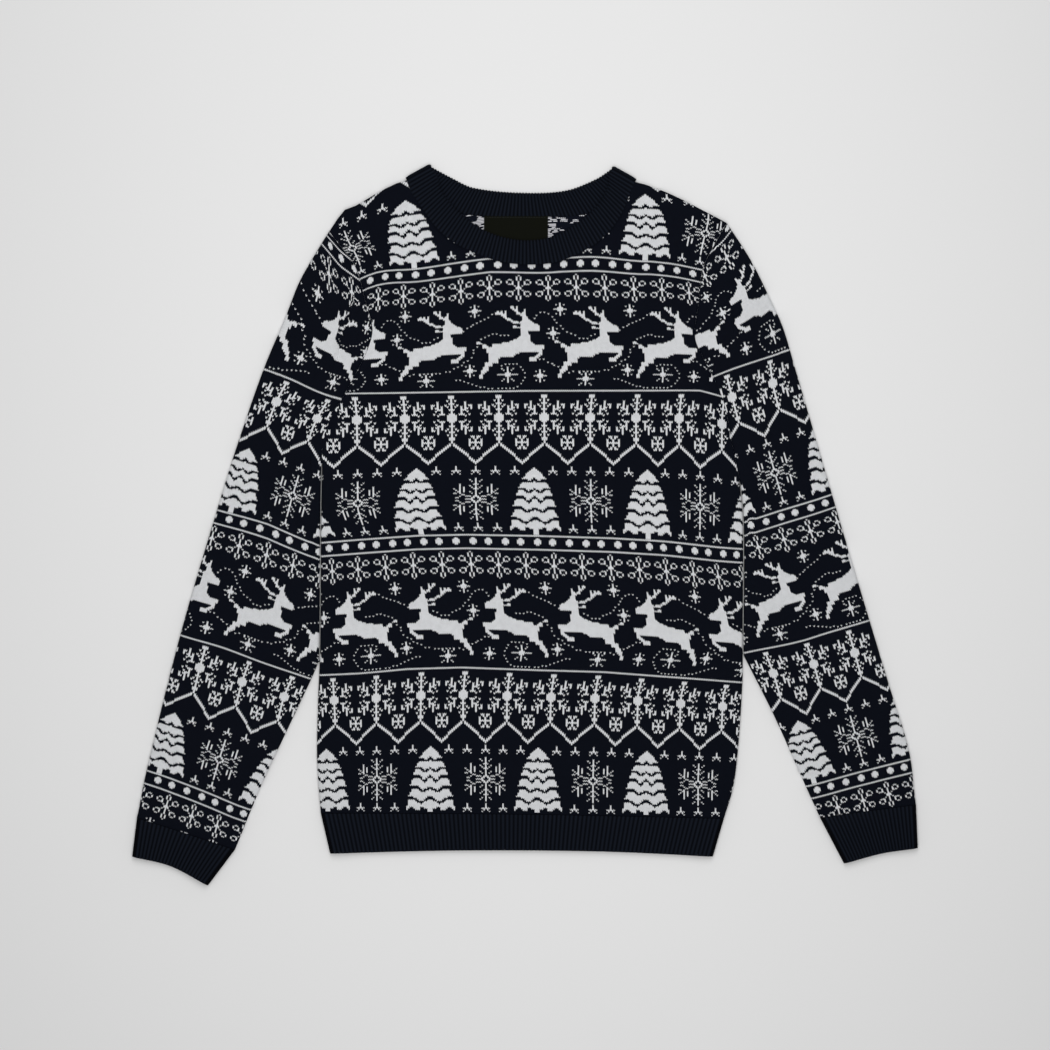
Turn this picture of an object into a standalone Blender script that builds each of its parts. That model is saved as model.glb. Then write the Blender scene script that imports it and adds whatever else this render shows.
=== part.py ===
# Christmas sweater laid flat on its back, sleeves out, as the pieces a knitter would make up.
# Lengths are in millimetres until the meshes are made. +X is to the right, +Y towards the neck,
# +Z up, and the origin lies under the middle of the garment.
import math

import bmesh
import bpy
from mathutils import Vector

ORIGIN = Vector((0.0, 0.92, 0.0))     # the middle of the garment's outline, in the tables below

# ---- cloth and seams -------------------------------------------------------------------------
CLOTH = 2.2            # wall of the patterned knit, floats included
RIB_CLOTH = 2.4        # wall of the ribbed hem and cuffs, between the ribs
RIB_HEIGHT = 0.8       # how far a rib stands out of its wall
SEAM_GAP = 0.3         # between two pieces that are sewn together
BESIDE_BODY = 0.8      # a sleeve's near edge keeps this far from the body's side
SEAM_DIP = 0.7         # the outer face sinks this much into a seam
FOLD = 3.5             # radius of the soft fold at a side seam or a sleeve's edge
SETTLED = 5.3          # height of the upper wall where it lies on the lower one
SETTLE_OVER = 38.0     # how far from a fold the cloth takes to lie down

# ---- ribs ------------------------------------------------------------------------------------
HEM_RIBS = 92
CUFF_RIBS = 22
COLLAR_PITCH = 4.0     # from one rib of the neckband to the next
COLLAR_HALF = 1.4      # half the neckband's thickness, between the ribs
COLLAR_LOW = 1.4       # height of the neckband's middle at the back
COLLAR_HIGH = 5.1      # and at the front

# ---- label -----------------------------------------------------------------------------------
LABEL_WIDTH = 64.0
LABEL_DEPTH = 30.0
LABEL_THICK = 0.6
LABEL_CENTRE_X = -9.0

# ---- outline, as it lies ---------------------------------------------------------------------
# Each table runs along one edge: columns x, y.
SIDE_LEFT = [          # hem seam up to the underarm
    (-204.3, -287.2), (-208.0, -234.5), (-207.0, -174.5), (-205.0, -124.5), (-204.0, 5.5), (-203.0, 62.5)]
SIDE_RIGHT = [
    (199.0, -292.5), (208.0, -262.5), (213.0, -224.5), (217.5, -156.5), (217.7, -119.5), (218.0, 5.5),
    (214.5, 45.5)]
ARMHOLE_LEFT = [       # underarm up to the shoulder
    (-203.0, 62.5), (-202.0, 85.5), (-195.0, 107.5), (-180.0, 132.5), (-153.0, 190.5), (-160.0, 225.5),
    (-170.0, 259.5), (-188.0, 284.5), (-196.0, 294.5)]
ARMHOLE_RIGHT = [
    (214.5, 45.5), (209.0, 73.5), (197.0, 129.5), (177.0, 170.5), (170.0, 188.5), (174.0, 225.5),
    (178.0, 257.5), (193.0, 287.5), (202.0, 303.0)]
SHOULDER_LEFT = [      # armhole up to the neck
    (-196.0, 294.5), (-180.0, 316.5), (-169.0, 320.5), (-149.0, 332.5), (-129.0, 342.5), (-117.0, 346.0)]
SHOULDER_RIGHT = [     # neck down to the armhole
    (109.0, 344.5), (127.0, 339.5), (153.0, 328.5), (186.0, 311.5), (202.0, 303.0)]
NECK_FRONT = [         # the front neckline's seam, left to right
    (-117.0, 346.0), (-114.0, 336.5), (-102.0, 318.5), (-86.0, 297.0), (-62.0, 279.5), (-20.0, 264.5),
    (27.0, 264.0), (63.0, 278.5), (84.0, 296.0), (97.0, 315.5), (105.0, 335.5), (109.0, 344.5)]
NECK_BACK = [          # the back neckline's seam
    (-117.0, 346.0), (-90.0, 324.0), (-58.0, 311.5), (3.0, 309.5), (59.0, 311.5), (88.0, 324.0),
    (109.0, 344.5)]
HEM_SEAM = [(-204.3, -287.2), (-1.0, -288.5), (199.0, -292.5)]
HEM_END = [(-195.0, -327.5), (-65.0, -324.5), (75.0, -325.5), (188.0, -330.5)]
OUTER_LEFT = [         # the sleeve's far edge, shoulder down to the cuff seam
    (-196.0, 294.5), (-203.0, 283.5), (-225.0, 245.5), (-239.0, 210.5), (-262.0, 155.5), (-288.0, 80.5),
    (-305.0, 26.5), (-345.0, -109.5), (-379.0, -246.5), (-388.0, -291.5)]
OUTER_RIGHT = [
    (202.0, 303.0), (226.0, 265.5), (245.0, 227.5), (258.0, 198.5), (270.0, 158.5), (297.0, 66.5),
    (321.0, -15.5), (364.0, -158.5), (384.0, -224.5), (391.0, -278.5)]
INNER_LEFT = [         # the sleeve's near edge where it leaves the body, down to the cuff seam
    (-205.8, -134.5), (-214.0, -153.5), (-239.0, -206.5), (-262.0, -255.5), (-290.0, -323.5)]
INNER_RIGHT = [
    (218.2, -128.5), (249.0, -189.5), (275.0, -247.5), (295.0, -291.5)]
CUFF_END_LEFT = [(-393.0, -330.5), (-355.0, -340.0), (-317.0, -359.5)]
CUFF_END_RIGHT = [(393.0, -322.0), (357.0, -327.5), (319.0, -337.5)]
COLLAR_EDGE_FRONT = [  # the neckband's free edge, left to right
    (-93.3, 359.0), (-87.0, 347.5), (-84.0, 336.5), (-72.0, 320.0), (-49.0, 300.5), (-25.0, 289.5),
    (3.0, 285.5), (31.0, 290.5), (59.0, 308.0), (76.0, 325.0), (83.0, 340.0), (83.5, 349.5), (86.4, 357.0)]
COLLAR_EDGE_BACK = [
    (-93.3, 359.0), (-72.0, 345.5), (-52.0, 336.0), (-6.0, 330.5), (40.0, 332.5), (71.0, 347.0),
    (86.4, 357.0)]

# Soft ridges (+) and troughs (-): columns x0, y0, x1, y1, half width, height.
BODY_FOLDS = [
    (-196, 78, -112, 132, 13, 1.7),
    (-199, 30, -118, 18, 16, 1.2),
    (-172, 150, -120, 214, 15, 1.0),
    (206, 62, 148, 142, 12, 2.1),
    (213, 6, 120, -12, 17, 1.5),
    (176, 176, 132, 236, 15, 1.0),
    (-62, 242, 66, 238, 18, 1.1),
    (-190, -150, -58, -104, 20, 1.2),
    (202, -186, 66, -126, 18, 1.4),
    (-24, -66, 6, 118, 34, 0.9),
    (-152, -282, -140, -214, 18, 1.3),
    (-58, -284, -66, -228, 16, 1.0),
    (44, -284, 38, -220, 18, 1.2),
    (132, -286, 146, -216, 16, 1.3),
    (-140, 336, -150, 256, 14, 1.1),
    (134, 330, 150, 252, 14, 1.1)]
SLEEVE_FOLDS_LEFT = [
    (-220, 236, -186, 152, 13, 1.5),
    (-262, 120, -214, 86, 14, 1.3),
    (-296, 22, -214, 26, 12, 1.6),
    (-322, -48, -226, -62, 13, 1.4),
    (-346, -128, -262, -140, 14, 1.2),
    (-372, -206, -288, -236, 12, 1.5),
    (-352, -276, -346, -244, 10, 1.0)]
SLEEVE_FOLDS_RIGHT = [
    (236, 236, 198, 168, 13, 1.4),
    (270, 122, 222, 92, 14, 1.5),
    (304, 12, 226, 30, 12, 1.4),
    (330, -66, 236, -66, 13, 1.6),
    (358, -140, 262, -134, 14, 1.1),
    (374, -214, 284, -226, 12, 1.5),
    (348, -270, 344, -236, 10, 1.0)]

# ---- how finely the walls are divided --------------------------------------------------------
SIDE_ROWS = 11         # from the hem seam to the underarm
UPPER_MIDS = 9         # across the flat part of an upper wall
LOWER_MIDS = 4
NECK_COLUMNS = 18
SHOULDER_COLUMNS = 3
SLEEVE_RINGS = 17
RELAX_ACROSS = 24      # a sleeve's plan is evened out on a grid this wide
RELAX_PASSES = 300
FOLD_ANGLES = [math.radians(a) for a in (0, 45, 90)]
BESIDE_FOLD = 12.0     # one more station this far from a fold's edge


# ---- curves ----------------------------------------------------------------------------------
def smooth_path(table, spacing=2.0):
    """A smooth curve through the table's points, as close points."""
    points = [Vector((x, y)) for x, y in table]
    points = [2 * points[0] - points[1]] + points + [2 * points[-1] - points[-2]]
    path = [points[1]]
    for before, start, end, after in zip(points, points[1:], points[2:], points[3:]):
        span = (end - start).length
        lead_in = (end - before) * (span / max((start - before).length + span, 1e-6))
        lead_out = (after - start) * (span / max((after - end).length + span, 1e-6))
        steps = max(2, round(span / spacing))
        for i in range(1, steps + 1):
            t = i / steps
            path.append(start * (2 * t**3 - 3 * t**2 + 1) + lead_in * (t**3 - 2 * t**2 + t)
                        + end * (3 * t**2 - 2 * t**3) + lead_out * (t**3 - t**2))
    return path


def length_of(path):
    return sum((b - a).length for a, b in zip(path, path[1:]))


def along(path, distances):
    """The path's points at the given distances from its start; the distances rise."""
    points, walked, i = [], 0.0, 0
    for distance in distances:
        while i < len(path) - 2 and walked + (path[i + 1] - path[i]).length < distance:
            walked += (path[i + 1] - path[i]).length
            i += 1
        step = path[i + 1] - path[i]
        share = (distance - walked) / max(step.length, 1e-9)
        points.append(path[i] + step * min(max(share, 0.0), 1.0))
    return points


def evenly(path, count):
    total = length_of(path)
    return along(path, [total * i / count for i in range(count + 1)])


def fold_stations(total, mids):
    """Distances across a wall: close together over the folds at its two ends, even between."""
    near = [FOLD * (1 - math.cos(a)) for a in FOLD_ANGLES] + [BESIDE_FOLD]
    flat = total - 2 * BESIDE_FOLD
    middle = [BESIDE_FOLD + flat * i / (mids + 1) for i in range(1, mids + 1)]
    return near + middle + [total - d for d in reversed(near)]


def normals_of(points):
    """The unit normal to the left of the path at each point."""
    normals = []
    for i in range(len(points)):
        step = points[min(i + 1, len(points) - 1)] - points[max(i - 1, 0)]
        normals.append(Vector((-step.y, step.x)).normalized())
    return normals


def shifted(points, amount):
    """The path moved to its left by an amount."""
    return [p + n * amount for p, n in zip(points, normals_of(points))]


def mix(a, b, t):
    return a + (b - a) * t


def smooth_step(t):
    t = min(max(t, 0.0), 1.0)
    return t * t * (3 - 2 * t)


# ---- heights ---------------------------------------------------------------------------------
def nearest(point, paths):
    """Distance to the nearest of the edges, and the direction away from it."""
    best, away = 1e9, Vector((0.0, 0.0))
    for path in paths:
        for a, b in zip(path, path[1:]):
            step = b - a
            t = min(max((point - a).dot(step) / step.length_squared, 0.0), 1.0)
            gap = point - (a + step * t)
            if gap.length < best:
                best = gap.length
                across = gap if gap.length > 0.5 else Vector((-step.y, step.x))
                away = across.normalized()
    return best, away


def folds_at(point, folds):
    """Height of the soft ridges and troughs at a point."""
    height = 0.0
    for x0, y0, x1, y1, half_width, rise in folds:
        start = Vector((x0, y0))
        step = Vector((x1, y1)) - start
        t = (point - start).dot(step) / step.length_squared
        off = (point - start - step * min(max(t, 0.0), 1.0)).length
        fade = smooth_step(min(t, 1 - t) * 3 + 0.6)
        height += rise * fade * math.exp(-(off / half_width)**2)
    return height


def upper_height(point, from_fold, folds):
    """Outer face of an upper wall beyond its fold: it settles on the lower wall, over soft folds."""
    beyond = from_fold - FOLD
    settled = mix(2 * FOLD, SETTLED, smooth_step(beyond / SETTLE_OVER))
    return settled + folds_at(point, folds) * smooth_step(beyond / 14.0)


def wall_pair(point, from_fold, away, folds, upper, wall, open_fold):
    """Outer and inner point of a wall at a place in plan. An upper wall faces up, a lower one down."""
    turn = math.acos(max(1 - from_fold / FOLD, 0.0))
    sign = 1 if upper else -1
    rise = FOLD * math.sin(turn)
    if open_fold:
        rise = max(rise, SEAM_GAP / 2)
    z = FOLD + sign * rise
    if upper and from_fold > FOLD:
        z = upper_height(point, from_fold, folds)
    inner = point + away * (wall * math.cos(turn))
    return (Vector((point.x, point.y, z)),
            Vector((inner.x, inner.y, z - sign * wall * math.sin(turn))))


# ---- meshes ----------------------------------------------------------------------------------
def make_object(name, bm, material):
    bmesh.ops.recalc_face_normals(bm, faces=bm.faces)
    if bm.calc_volume(signed=True) < 0:
        bmesh.ops.reverse_faces(bm, faces=bm.faces)
    mesh = bpy.data.meshes.new(name)
    bm.to_mesh(mesh)
    bm.free()
    mesh.shade_smooth()
    mesh.set_sharp_from_angle(angle=math.radians(50))
    mesh.materials.append(material)
    piece = bpy.data.objects.new(name, mesh)
    bpy.context.collection.objects.link(piece)
    return piece


def add_rows(bm, rows):
    return [[bm.verts.new((p - ORIGIN) * 0.001) for p in row] for row in rows]


def skin(bm, rows, wrap_rows=False, wrap_columns=False):
    """Faces between neighbouring points of a grid."""
    row_count, column_count = len(rows), len(rows[0])
    for i in range(row_count if wrap_rows else row_count - 1):
        for j in range(column_count if wrap_columns else column_count - 1):
            below, above = rows[i], rows[(i + 1) % row_count]
            k = (j + 1) % column_count
            bm.faces.new((below[j], below[k], above[k], above[j]))


def make_wall(name, outer_rows, inner_rows, is_tube, material):
    """A closed wall between an outer and an inner grid. A tube's rows close round."""
    bm = bmesh.new()
    outer, inner = add_rows(bm, outer_rows), add_rows(bm, inner_rows)
    skin(bm, outer, wrap_columns=is_tube)
    skin(bm, inner, wrap_columns=is_tube)
    for end in (0, -1):
        skin(bm, [outer[end], inner[end]], wrap_columns=is_tube)
        if not is_tube:
            skin(bm, [[row[end] for row in outer], [row[end] for row in inner]])
    return make_object(name, bm, material)


# ---- body ------------------------------------------------------------------------------------
def body_edges(mids):
    """The two edges of a body panel from hem to shoulder, one point for each row."""
    edges = []
    for side, armhole, towards in ((SIDE_LEFT, ARMHOLE_LEFT, -1), (SIDE_RIGHT, ARMHOLE_RIGHT, 1)):
        side_points = evenly(smooth_path(side), SIDE_ROWS)
        curve = smooth_path(armhole)
        arm_points = along(curve, fold_stations(length_of(curve), mids))
        edges.append(side_points[:-1] + shifted(arm_points, towards * SEAM_GAP / 2))
    return edges


def top_edge(neck):
    """The panel's upper edge, left to right, one point for each column between the edge columns."""
    shoulder_left = smooth_path(SHOULDER_LEFT)
    shoulder_right = smooth_path(SHOULDER_RIGHT)
    near = [FOLD * (1 - math.cos(a)) for a in FOLD_ANGLES]
    def shoulder(path, reverse):
        total = length_of(path)
        steps = [SEAM_GAP / 2] + near[1:]
        steps += [mix(near[-1], total, i / SHOULDER_COLUMNS) for i in range(1, SHOULDER_COLUMNS + 1)]
        if reverse:
            steps = [total - s for s in reversed(steps)]
        return along(path, steps)
    left = shoulder(shoulder_left, False)
    right = shoulder(shoulder_right, True)
    return left[:-1] + evenly(smooth_path(neck), NECK_COLUMNS) + right[1:]


def panel_plan(neck, mids):
    """Rows of plan points that fill the panel between its four edges."""
    left, right = body_edges(mids)
    top = top_edge(neck)
    hem = smooth_path(HEM_SEAM)
    spread = [(p.x - top[0].x) / (top[-1].x - top[0].x) for p in top]
    hem_length = length_of(hem)
    bottom = [p + Vector((0, SEAM_GAP / 2)) for p in along(hem, [hem_length * s for s in spread])]
    rows = []
    height = length_of(left)
    walked = 0.0
    for i, (a, b) in enumerate(zip(left, right)):
        walked += (a - left[i - 1]).length if i else 0.0
        v = walked / height
        rows.append([
            mix(a, b, s) + (low - mix(left[0], right[0], s)) * (1 - v)
            + (high - mix(left[-1], right[-1], s)) * v
            for s, low, high in zip(spread, bottom, top)])
    return rows


def closed_edges():
    """The edges where front and back are joined by a fold, each with the body on its left."""
    return [smooth_path(SIDE_LEFT, 6.0)[::-1], smooth_path(SIDE_RIGHT, 6.0),
            smooth_path(SHOULDER_LEFT, 6.0)[::-1], smooth_path(SHOULDER_RIGHT, 6.0)[::-1]]


def build_panel(name, neck, upper, mids, material):
    edges = closed_edges()
    rows = panel_plan(neck, mids)
    outer, inner = [], []
    last_row, last_column = len(rows) - 1, len(rows[0]) - 1
    shoulder_end = len(FOLD_ANGLES) + SHOULDER_COLUMNS - 1
    for i, row in enumerate(rows):
        pairs = []
        for j, point in enumerate(row):
            distance, away = nearest(point, edges)
            pair = wall_pair(point, distance, away, BODY_FOLDS, upper, CLOTH, True)
            at_armhole = j in (0, last_column) and SIDE_ROWS < i < last_row
            at_neck = i == last_row and shoulder_end < j < last_column - shoulder_end
            if upper and distance > FOLD and (i == 0 or at_armhole or at_neck):
                pair[0].z -= SEAM_DIP
            pairs.append(pair)
        outer.append([p[0] for p in pairs])
        inner.append([p[1] for p in pairs])
    return make_wall(name, outer, inner, False, material)


# ---- sleeves and cuffs -----------------------------------------------------------------------
def sleeve_edges(side):
    """Armhole from the shoulder down, far edge, near edge, and which way is away from the body."""
    towards = -1 if side == "left" else 1
    outer_table, side_table, inner_table, armhole_table = (
        (OUTER_LEFT, SIDE_LEFT, INNER_LEFT, ARMHOLE_LEFT) if side == "left"
        else (OUTER_RIGHT, SIDE_RIGHT, INNER_RIGHT, ARMHOLE_RIGHT))
    armhole = smooth_path(armhole_table)[::-1]
    leaves = inner_table[0][1]
    beside = [Vector((p.x + towards * BESIDE_BODY, p.y))
              for p in smooth_path(side_table)[::-1] if p.y > leaves + 3]
    near = [armhole[-1]] + beside[1:] + smooth_path(inner_table)
    return armhole, smooth_path(outer_table), near, towards


def body_limit(armhole, near, y):
    """The x of the body's edge at a height."""
    line = armhole + near[1:]
    for a, b in zip(line, line[1:]):
        if b.y <= y <= a.y:
            return a.x + (b.x - a.x) * (a.y - y) / max(a.y - b.y, 1e-6)
    return None


def sleeve_plan(armhole, far_edge, near_edge, towards):
    """Evened-out plan of a sleeve: rings from the armhole to the cuff seam, far edge first."""
    far, near = evenly(far_edge, SLEEVE_RINGS), evenly(near_edge, SLEEVE_RINGS)
    first = evenly(armhole, RELAX_ACROSS)
    shares = [j / RELAX_ACROSS for j in range(RELAX_ACROSS + 1)]
    grid = []
    for i, (a, b) in enumerate(zip(far, near)):
        keep = 1 - i / SLEEVE_RINGS
        grid.append([mix(a, b, w) + (start - mix(far[0], near[0], w)) * keep
                     for w, start in zip(shares, first)])
    for _ in range(RELAX_PASSES):
        for i in range(1, SLEEVE_RINGS):
            for j in range(1, RELAX_ACROSS):
                point = (grid[i - 1][j] + grid[i + 1][j] + grid[i][j - 1] + grid[i][j + 1]) / 4
                limit = body_limit(armhole, near_edge, point.y)
                if limit is not None:     # a ring stays outside the body, each one further out
                    clear = 2.2 * min(i, 7) * (1 - shares[j]) / (1.15 - shares[j])
                    if towards * (point.x - limit) < clear:
                        point.x = limit + towards * clear
                grid[i][j] = point
    return grid


def edge_stations(path, edge, total):
    """Distances along a ring at which it is a given way in from the edge that it starts on."""
    found, walked = [0.0], 0.0
    for target in [FOLD * (1 - math.cos(a)) for a in FOLD_ANGLES[1:]] + [BESIDE_FOLD]:
        while walked < total / 2 and nearest(along(path, [walked])[0], [edge])[0] < target:
            walked += 0.25
        found.append(walked)
    return found


def tube_ring(path, edges, folds, wall, ribs=0, rib_height=0.0, seam_shift=0.0, at_seam=True):
    """One ring of a flattened tube over a path in plan: outer points and inner points."""
    far_edge, near_edge = edges
    total = length_of(path)
    if seam_shift:       # the same places as the panels have along the armhole
        stations = fold_stations(total, 0)
        start, end = stations[:4], stations[4:]
    else:
        start = edge_stations(path, far_edge, total)
        end = [total - d for d in edge_stations(path[::-1], near_edge, total)[::-1]]
    outer, inner = [], []
    for upper in (True, False):
        mids = UPPER_MIDS if upper else LOWER_MIDS
        heights = None
        if upper and ribs:
            ridges = [mix(start[-2], end[1], i / (2 * ribs)) for i in range(1, 2 * ribs)]
            stations = start[:-1] + ridges + end[1:]
            heights = [0.0] * 3 + [rib_height * (i % 2) for i in range(1, 2 * ribs)] + [0.0] * 3
        else:
            middle = [mix(start[-1], end[0], i / (mids + 1)) for i in range(1, mids + 1)]
            stations = start + middle + end
        points = shifted(along(path, stations), seam_shift)
        order = range(len(points)) if upper else range(len(points) - 2, 0, -1)
        for n in order:
            distance, away = nearest(points[n], edges)
            if at_seam:        # the fold's inner face goes along the seam
                in_first_half = stations[n] < total / 2
                away = (points[n + 1 if in_first_half else n - 1] - points[n]).normalized()
            if seam_shift:
                distance = min(stations[n], total - stations[n])
            out, within = wall_pair(points[n], distance, away, folds, upper, wall, False)
            if heights:
                out.z += heights[n]
            outer.append(out)
            inner.append(within)
    return outer, inner


def build_sleeve(name, side, material):
    folds = SLEEVE_FOLDS_LEFT if side == "left" else SLEEVE_FOLDS_RIGHT
    armhole, far_edge, near_edge, towards = sleeve_edges(side)
    plan = sleeve_plan(armhole, far_edge, near_edge, towards)
    plan[0] = armhole
    facing = (far_edge, near_edge[::-1]) if side == "left" else (far_edge[::-1], near_edge)
    upper_count = UPPER_MIDS + 2 * (len(FOLD_ANGLES) + 1)
    outer_rows, inner_rows = [], []
    for i, ring in enumerate(plan):
        shift = 0.0 if i else towards * SEAM_GAP / 2
        at_seam = i in (0, len(plan) - 1)
        outer, inner = tube_ring(ring, facing, folds, CLOTH, seam_shift=shift, at_seam=at_seam)
        if at_seam:
            for point in outer[len(FOLD_ANGLES):upper_count - len(FOLD_ANGLES)]:
                point.z -= SEAM_DIP
        outer_rows.append(outer)
        inner_rows.append(inner)
    return make_wall(name, outer_rows, inner_rows, True, material)


def build_cuff(name, side, material):
    outer_table, inner_table, end_table = (
        (OUTER_LEFT, INNER_LEFT, CUFF_END_LEFT) if side == "left"
        else (OUTER_RIGHT, INNER_RIGHT, CUFF_END_RIGHT))
    far, near = Vector(outer_table[-1]), Vector(inner_table[-1])
    end = smooth_path(end_table)
    far_side, near_side = [far, end[0]], [near, end[-1]]
    facing = (far_side, near_side[::-1]) if side == "left" else (far_side[::-1], near_side)
    down = (end[len(end) // 2] - (far + near) / 2).normalized()
    outer_rows, inner_rows = [], []
    for t, rib in ((0.0, 0.35), (0.5, 1.0), (1.0, 0.8)):
        path = [mix(a, b, t) + down * (SEAM_GAP * (1 - t))
                for a, b in zip(evenly([far, near], 12), evenly(end, 12))]
        outer, inner = tube_ring(path, facing, [], RIB_CLOTH, CUFF_RIBS, RIB_HEIGHT * rib)
        outer_rows.append(outer)
        inner_rows.append(inner)
    return make_wall(name, outer_rows, inner_rows, True, material)


# ---- hem -------------------------------------------------------------------------------------
def build_hem(name, upper, material):
    seam, end = smooth_path(HEM_SEAM), smooth_path(HEM_END)
    sides = [[seam[0], end[0]], [end[-1], seam[-1]]]     # the hem lies on the left of each
    near_fold = [FOLD * (1 - math.cos(a)) for a in FOLD_ANGLES]
    outer_rows, inner_rows = [], []
    for t, rib in ((0.0, 0.35), (0.5, 1.0), (1.0, 0.8)):
        first, last = evenly(seam, 24), evenly(end, 24)
        path = [mix(a, b, t) - Vector((0, SEAM_GAP / 2 * (1 - t))) for a, b in zip(first, last)]
        span = length_of(path)
        flat = span - 2 * FOLD
        steps = 2 * HEM_RIBS if upper else 12
        ribs = [FOLD + flat * i / steps for i in range(1, steps)]
        stations = near_fold + ribs + [span - d for d in reversed(near_fold)]
        outer, inner = [], []
        for n, point in enumerate(along(path, stations)):
            distance = min(stations[n], span - stations[n])
            away = nearest(point, sides)[1]
            out, within = wall_pair(point, distance, away, [], upper, RIB_CLOTH, True)
            if upper and 3 <= n < len(stations) - 3:
                out.z += RIB_HEIGHT * rib * ((n - 2) % 2)
            outer.append(out)
            inner.append(within)
        outer_rows.append(outer)
        inner_rows.append(inner)
    return make_wall(name, outer_rows, inner_rows, False, material)


# ---- neckband --------------------------------------------------------------------------------
def band_half(seam_table, edge_table, gap, height):
    """Stations along one half of the neckband: points on its seam and on its free edge."""
    panel_edge = evenly(smooth_path(seam_table), NECK_COLUMNS)
    seam_curve = shifted(evenly(panel_edge, 12 * NECK_COLUMNS), gap)
    edge_curve = smooth_path(edge_table)
    count = 2 * round(length_of(seam_curve) / COLLAR_PITCH)
    seam, edge = evenly(seam_curve, count), evenly(edge_curve, count)
    return [(Vector((a.x, a.y, height)), Vector((b.x, b.y, height))) for a, b in zip(seam, edge)]


def band_turn(before, after, outward, rising):
    """Stations round a shoulder, where the band folds over between its back and front halves."""
    radius = (COLLAR_HIGH - COLLAR_LOW) / 2
    middle = (COLLAR_HIGH + COLLAR_LOW) / 2
    turn = []
    for degrees in (-54, -18, 18, 54):
        angle = math.radians(degrees if rising else -degrees)
        t = (degrees + 90) / 180
        push = outward * (radius * math.cos(angle))
        pair = []
        for a, b in zip(before, after):
            place = mix(a, b, t)
            pair.append(Vector((place.x + push.x, place.y + push.y, middle + radius * math.sin(angle))))
        turn.append(tuple(pair))
    return turn


def build_collar(name, material):
    gap = 2.2 * SEAM_GAP
    front = band_half(NECK_FRONT, COLLAR_EDGE_FRONT, gap, COLLAR_HIGH)
    back = band_half(NECK_BACK, COLLAR_EDGE_BACK, gap, COLLAR_LOW)[::-1]
    def outward(pair):
        line = (pair[1] - pair[0]).to_2d().normalized()
        normal = Vector((-line.y, line.x))
        return normal if normal.y > 0 else -normal
    right = band_turn(front[-1], back[0], outward(front[-1]), False)
    left = band_turn(back[-1], front[0], outward(front[0]), True)
    stations = front + right + back + left
    total = len(stations)
    rows = []
    for k, (seam, edge) in enumerate(stations):
        before, after = stations[k - 1], stations[(k + 1) % total]
        across = (edge - seam).normalized()
        run = ((after[0] - before[0]) + (after[1] - before[1])).normalized()
        normal = across.cross(run).normalized() * -1
        on_back = len(front) + len(right) <= k < len(front) + len(right) + len(back)
        raised = k % 2
        out = COLLAR_HALF + (0 if on_back else RIB_HEIGHT * raised)
        within = COLLAR_HALF + (RIB_HEIGHT * raised if on_back else 0)
        section = ((0.0, COLLAR_HALF), (0.5, out), (0.93, out - 0.2 * raised * (not on_back)),
                   (1.0, 0.0), (0.93, -within), (0.06, -within))
        rows.append([mix(seam, edge, s) + normal * height for s, height in section])
    bm = bmesh.new()
    skin(bm, add_rows(bm, rows), wrap_rows=True, wrap_columns=True)
    return make_object(name, bm, material)


# ---- label -----------------------------------------------------------------------------------
def build_label(name, material):
    top = min(y for x, y in NECK_BACK) - 2 * SEAM_GAP
    bm = bmesh.new()
    bmesh.ops.create_cube(bm, size=1.0)
    bmesh.ops.scale(bm, verts=bm.verts, vec=Vector((LABEL_WIDTH, LABEL_DEPTH, LABEL_THICK)) * 0.001)
    place = Vector((LABEL_CENTRE_X, top - LABEL_DEPTH / 2, CLOTH + SEAM_GAP + LABEL_THICK / 2))
    bmesh.ops.translate(bm, verts=bm.verts, vec=(place - ORIGIN) * 0.001)
    return make_object(name, bm, material)


# ---- materials and build ---------------------------------------------------------------------
def make_material(name, colour, roughness):
    material = bpy.data.materials.new(name)
    material.use_nodes = True
    shader = material.node_tree.nodes["Principled BSDF"]
    shader.inputs["Base Color"].default_value = (*colour, 1.0)
    shader.inputs["Roughness"].default_value = roughness
    shader.inputs["Metallic"].default_value = 0.0
    return material


def main():
    for old in list(bpy.data.objects):
        bpy.data.objects.remove(old)
    knit = make_material("patterned_knit", (0.16, 0.17, 0.21), 0.95)
    knit_back = make_material("patterned_knit_back", (0.12, 0.13, 0.17), 0.95)
    rib = make_material("ribbed_knit", (0.012, 0.016, 0.028), 0.95)
    satin = make_material("label_satin", (0.02, 0.022, 0.02), 0.45)
    build_panel("back_panel", NECK_BACK, False, LOWER_MIDS, knit_back)
    build_panel("front_panel", NECK_FRONT, True, UPPER_MIDS, knit)
    for side in ("left", "right"):
        build_sleeve("sleeve_" + side, side, knit)
        build_cuff("cuff_" + side, side, rib)
    build_hem("hem_back", False, rib)
    build_hem("hem_front", True, rib)
    build_collar("collar", rib)
    build_label("neck_label", satin)


main()
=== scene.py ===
import math

import bmesh
import bpy
import numpy as np
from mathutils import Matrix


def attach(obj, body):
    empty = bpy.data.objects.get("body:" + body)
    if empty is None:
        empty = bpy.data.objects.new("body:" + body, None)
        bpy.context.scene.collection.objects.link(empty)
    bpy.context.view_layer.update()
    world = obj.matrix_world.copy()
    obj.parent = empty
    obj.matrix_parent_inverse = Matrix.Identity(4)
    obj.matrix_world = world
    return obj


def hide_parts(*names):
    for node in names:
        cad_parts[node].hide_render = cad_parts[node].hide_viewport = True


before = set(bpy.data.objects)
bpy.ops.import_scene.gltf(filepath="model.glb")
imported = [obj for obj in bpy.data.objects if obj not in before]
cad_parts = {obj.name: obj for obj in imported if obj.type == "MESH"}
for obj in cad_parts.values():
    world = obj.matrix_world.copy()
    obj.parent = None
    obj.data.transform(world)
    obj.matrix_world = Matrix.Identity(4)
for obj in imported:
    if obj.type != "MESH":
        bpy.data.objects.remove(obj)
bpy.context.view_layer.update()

bpy.ops.object.select_all(action="DESELECT")

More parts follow.
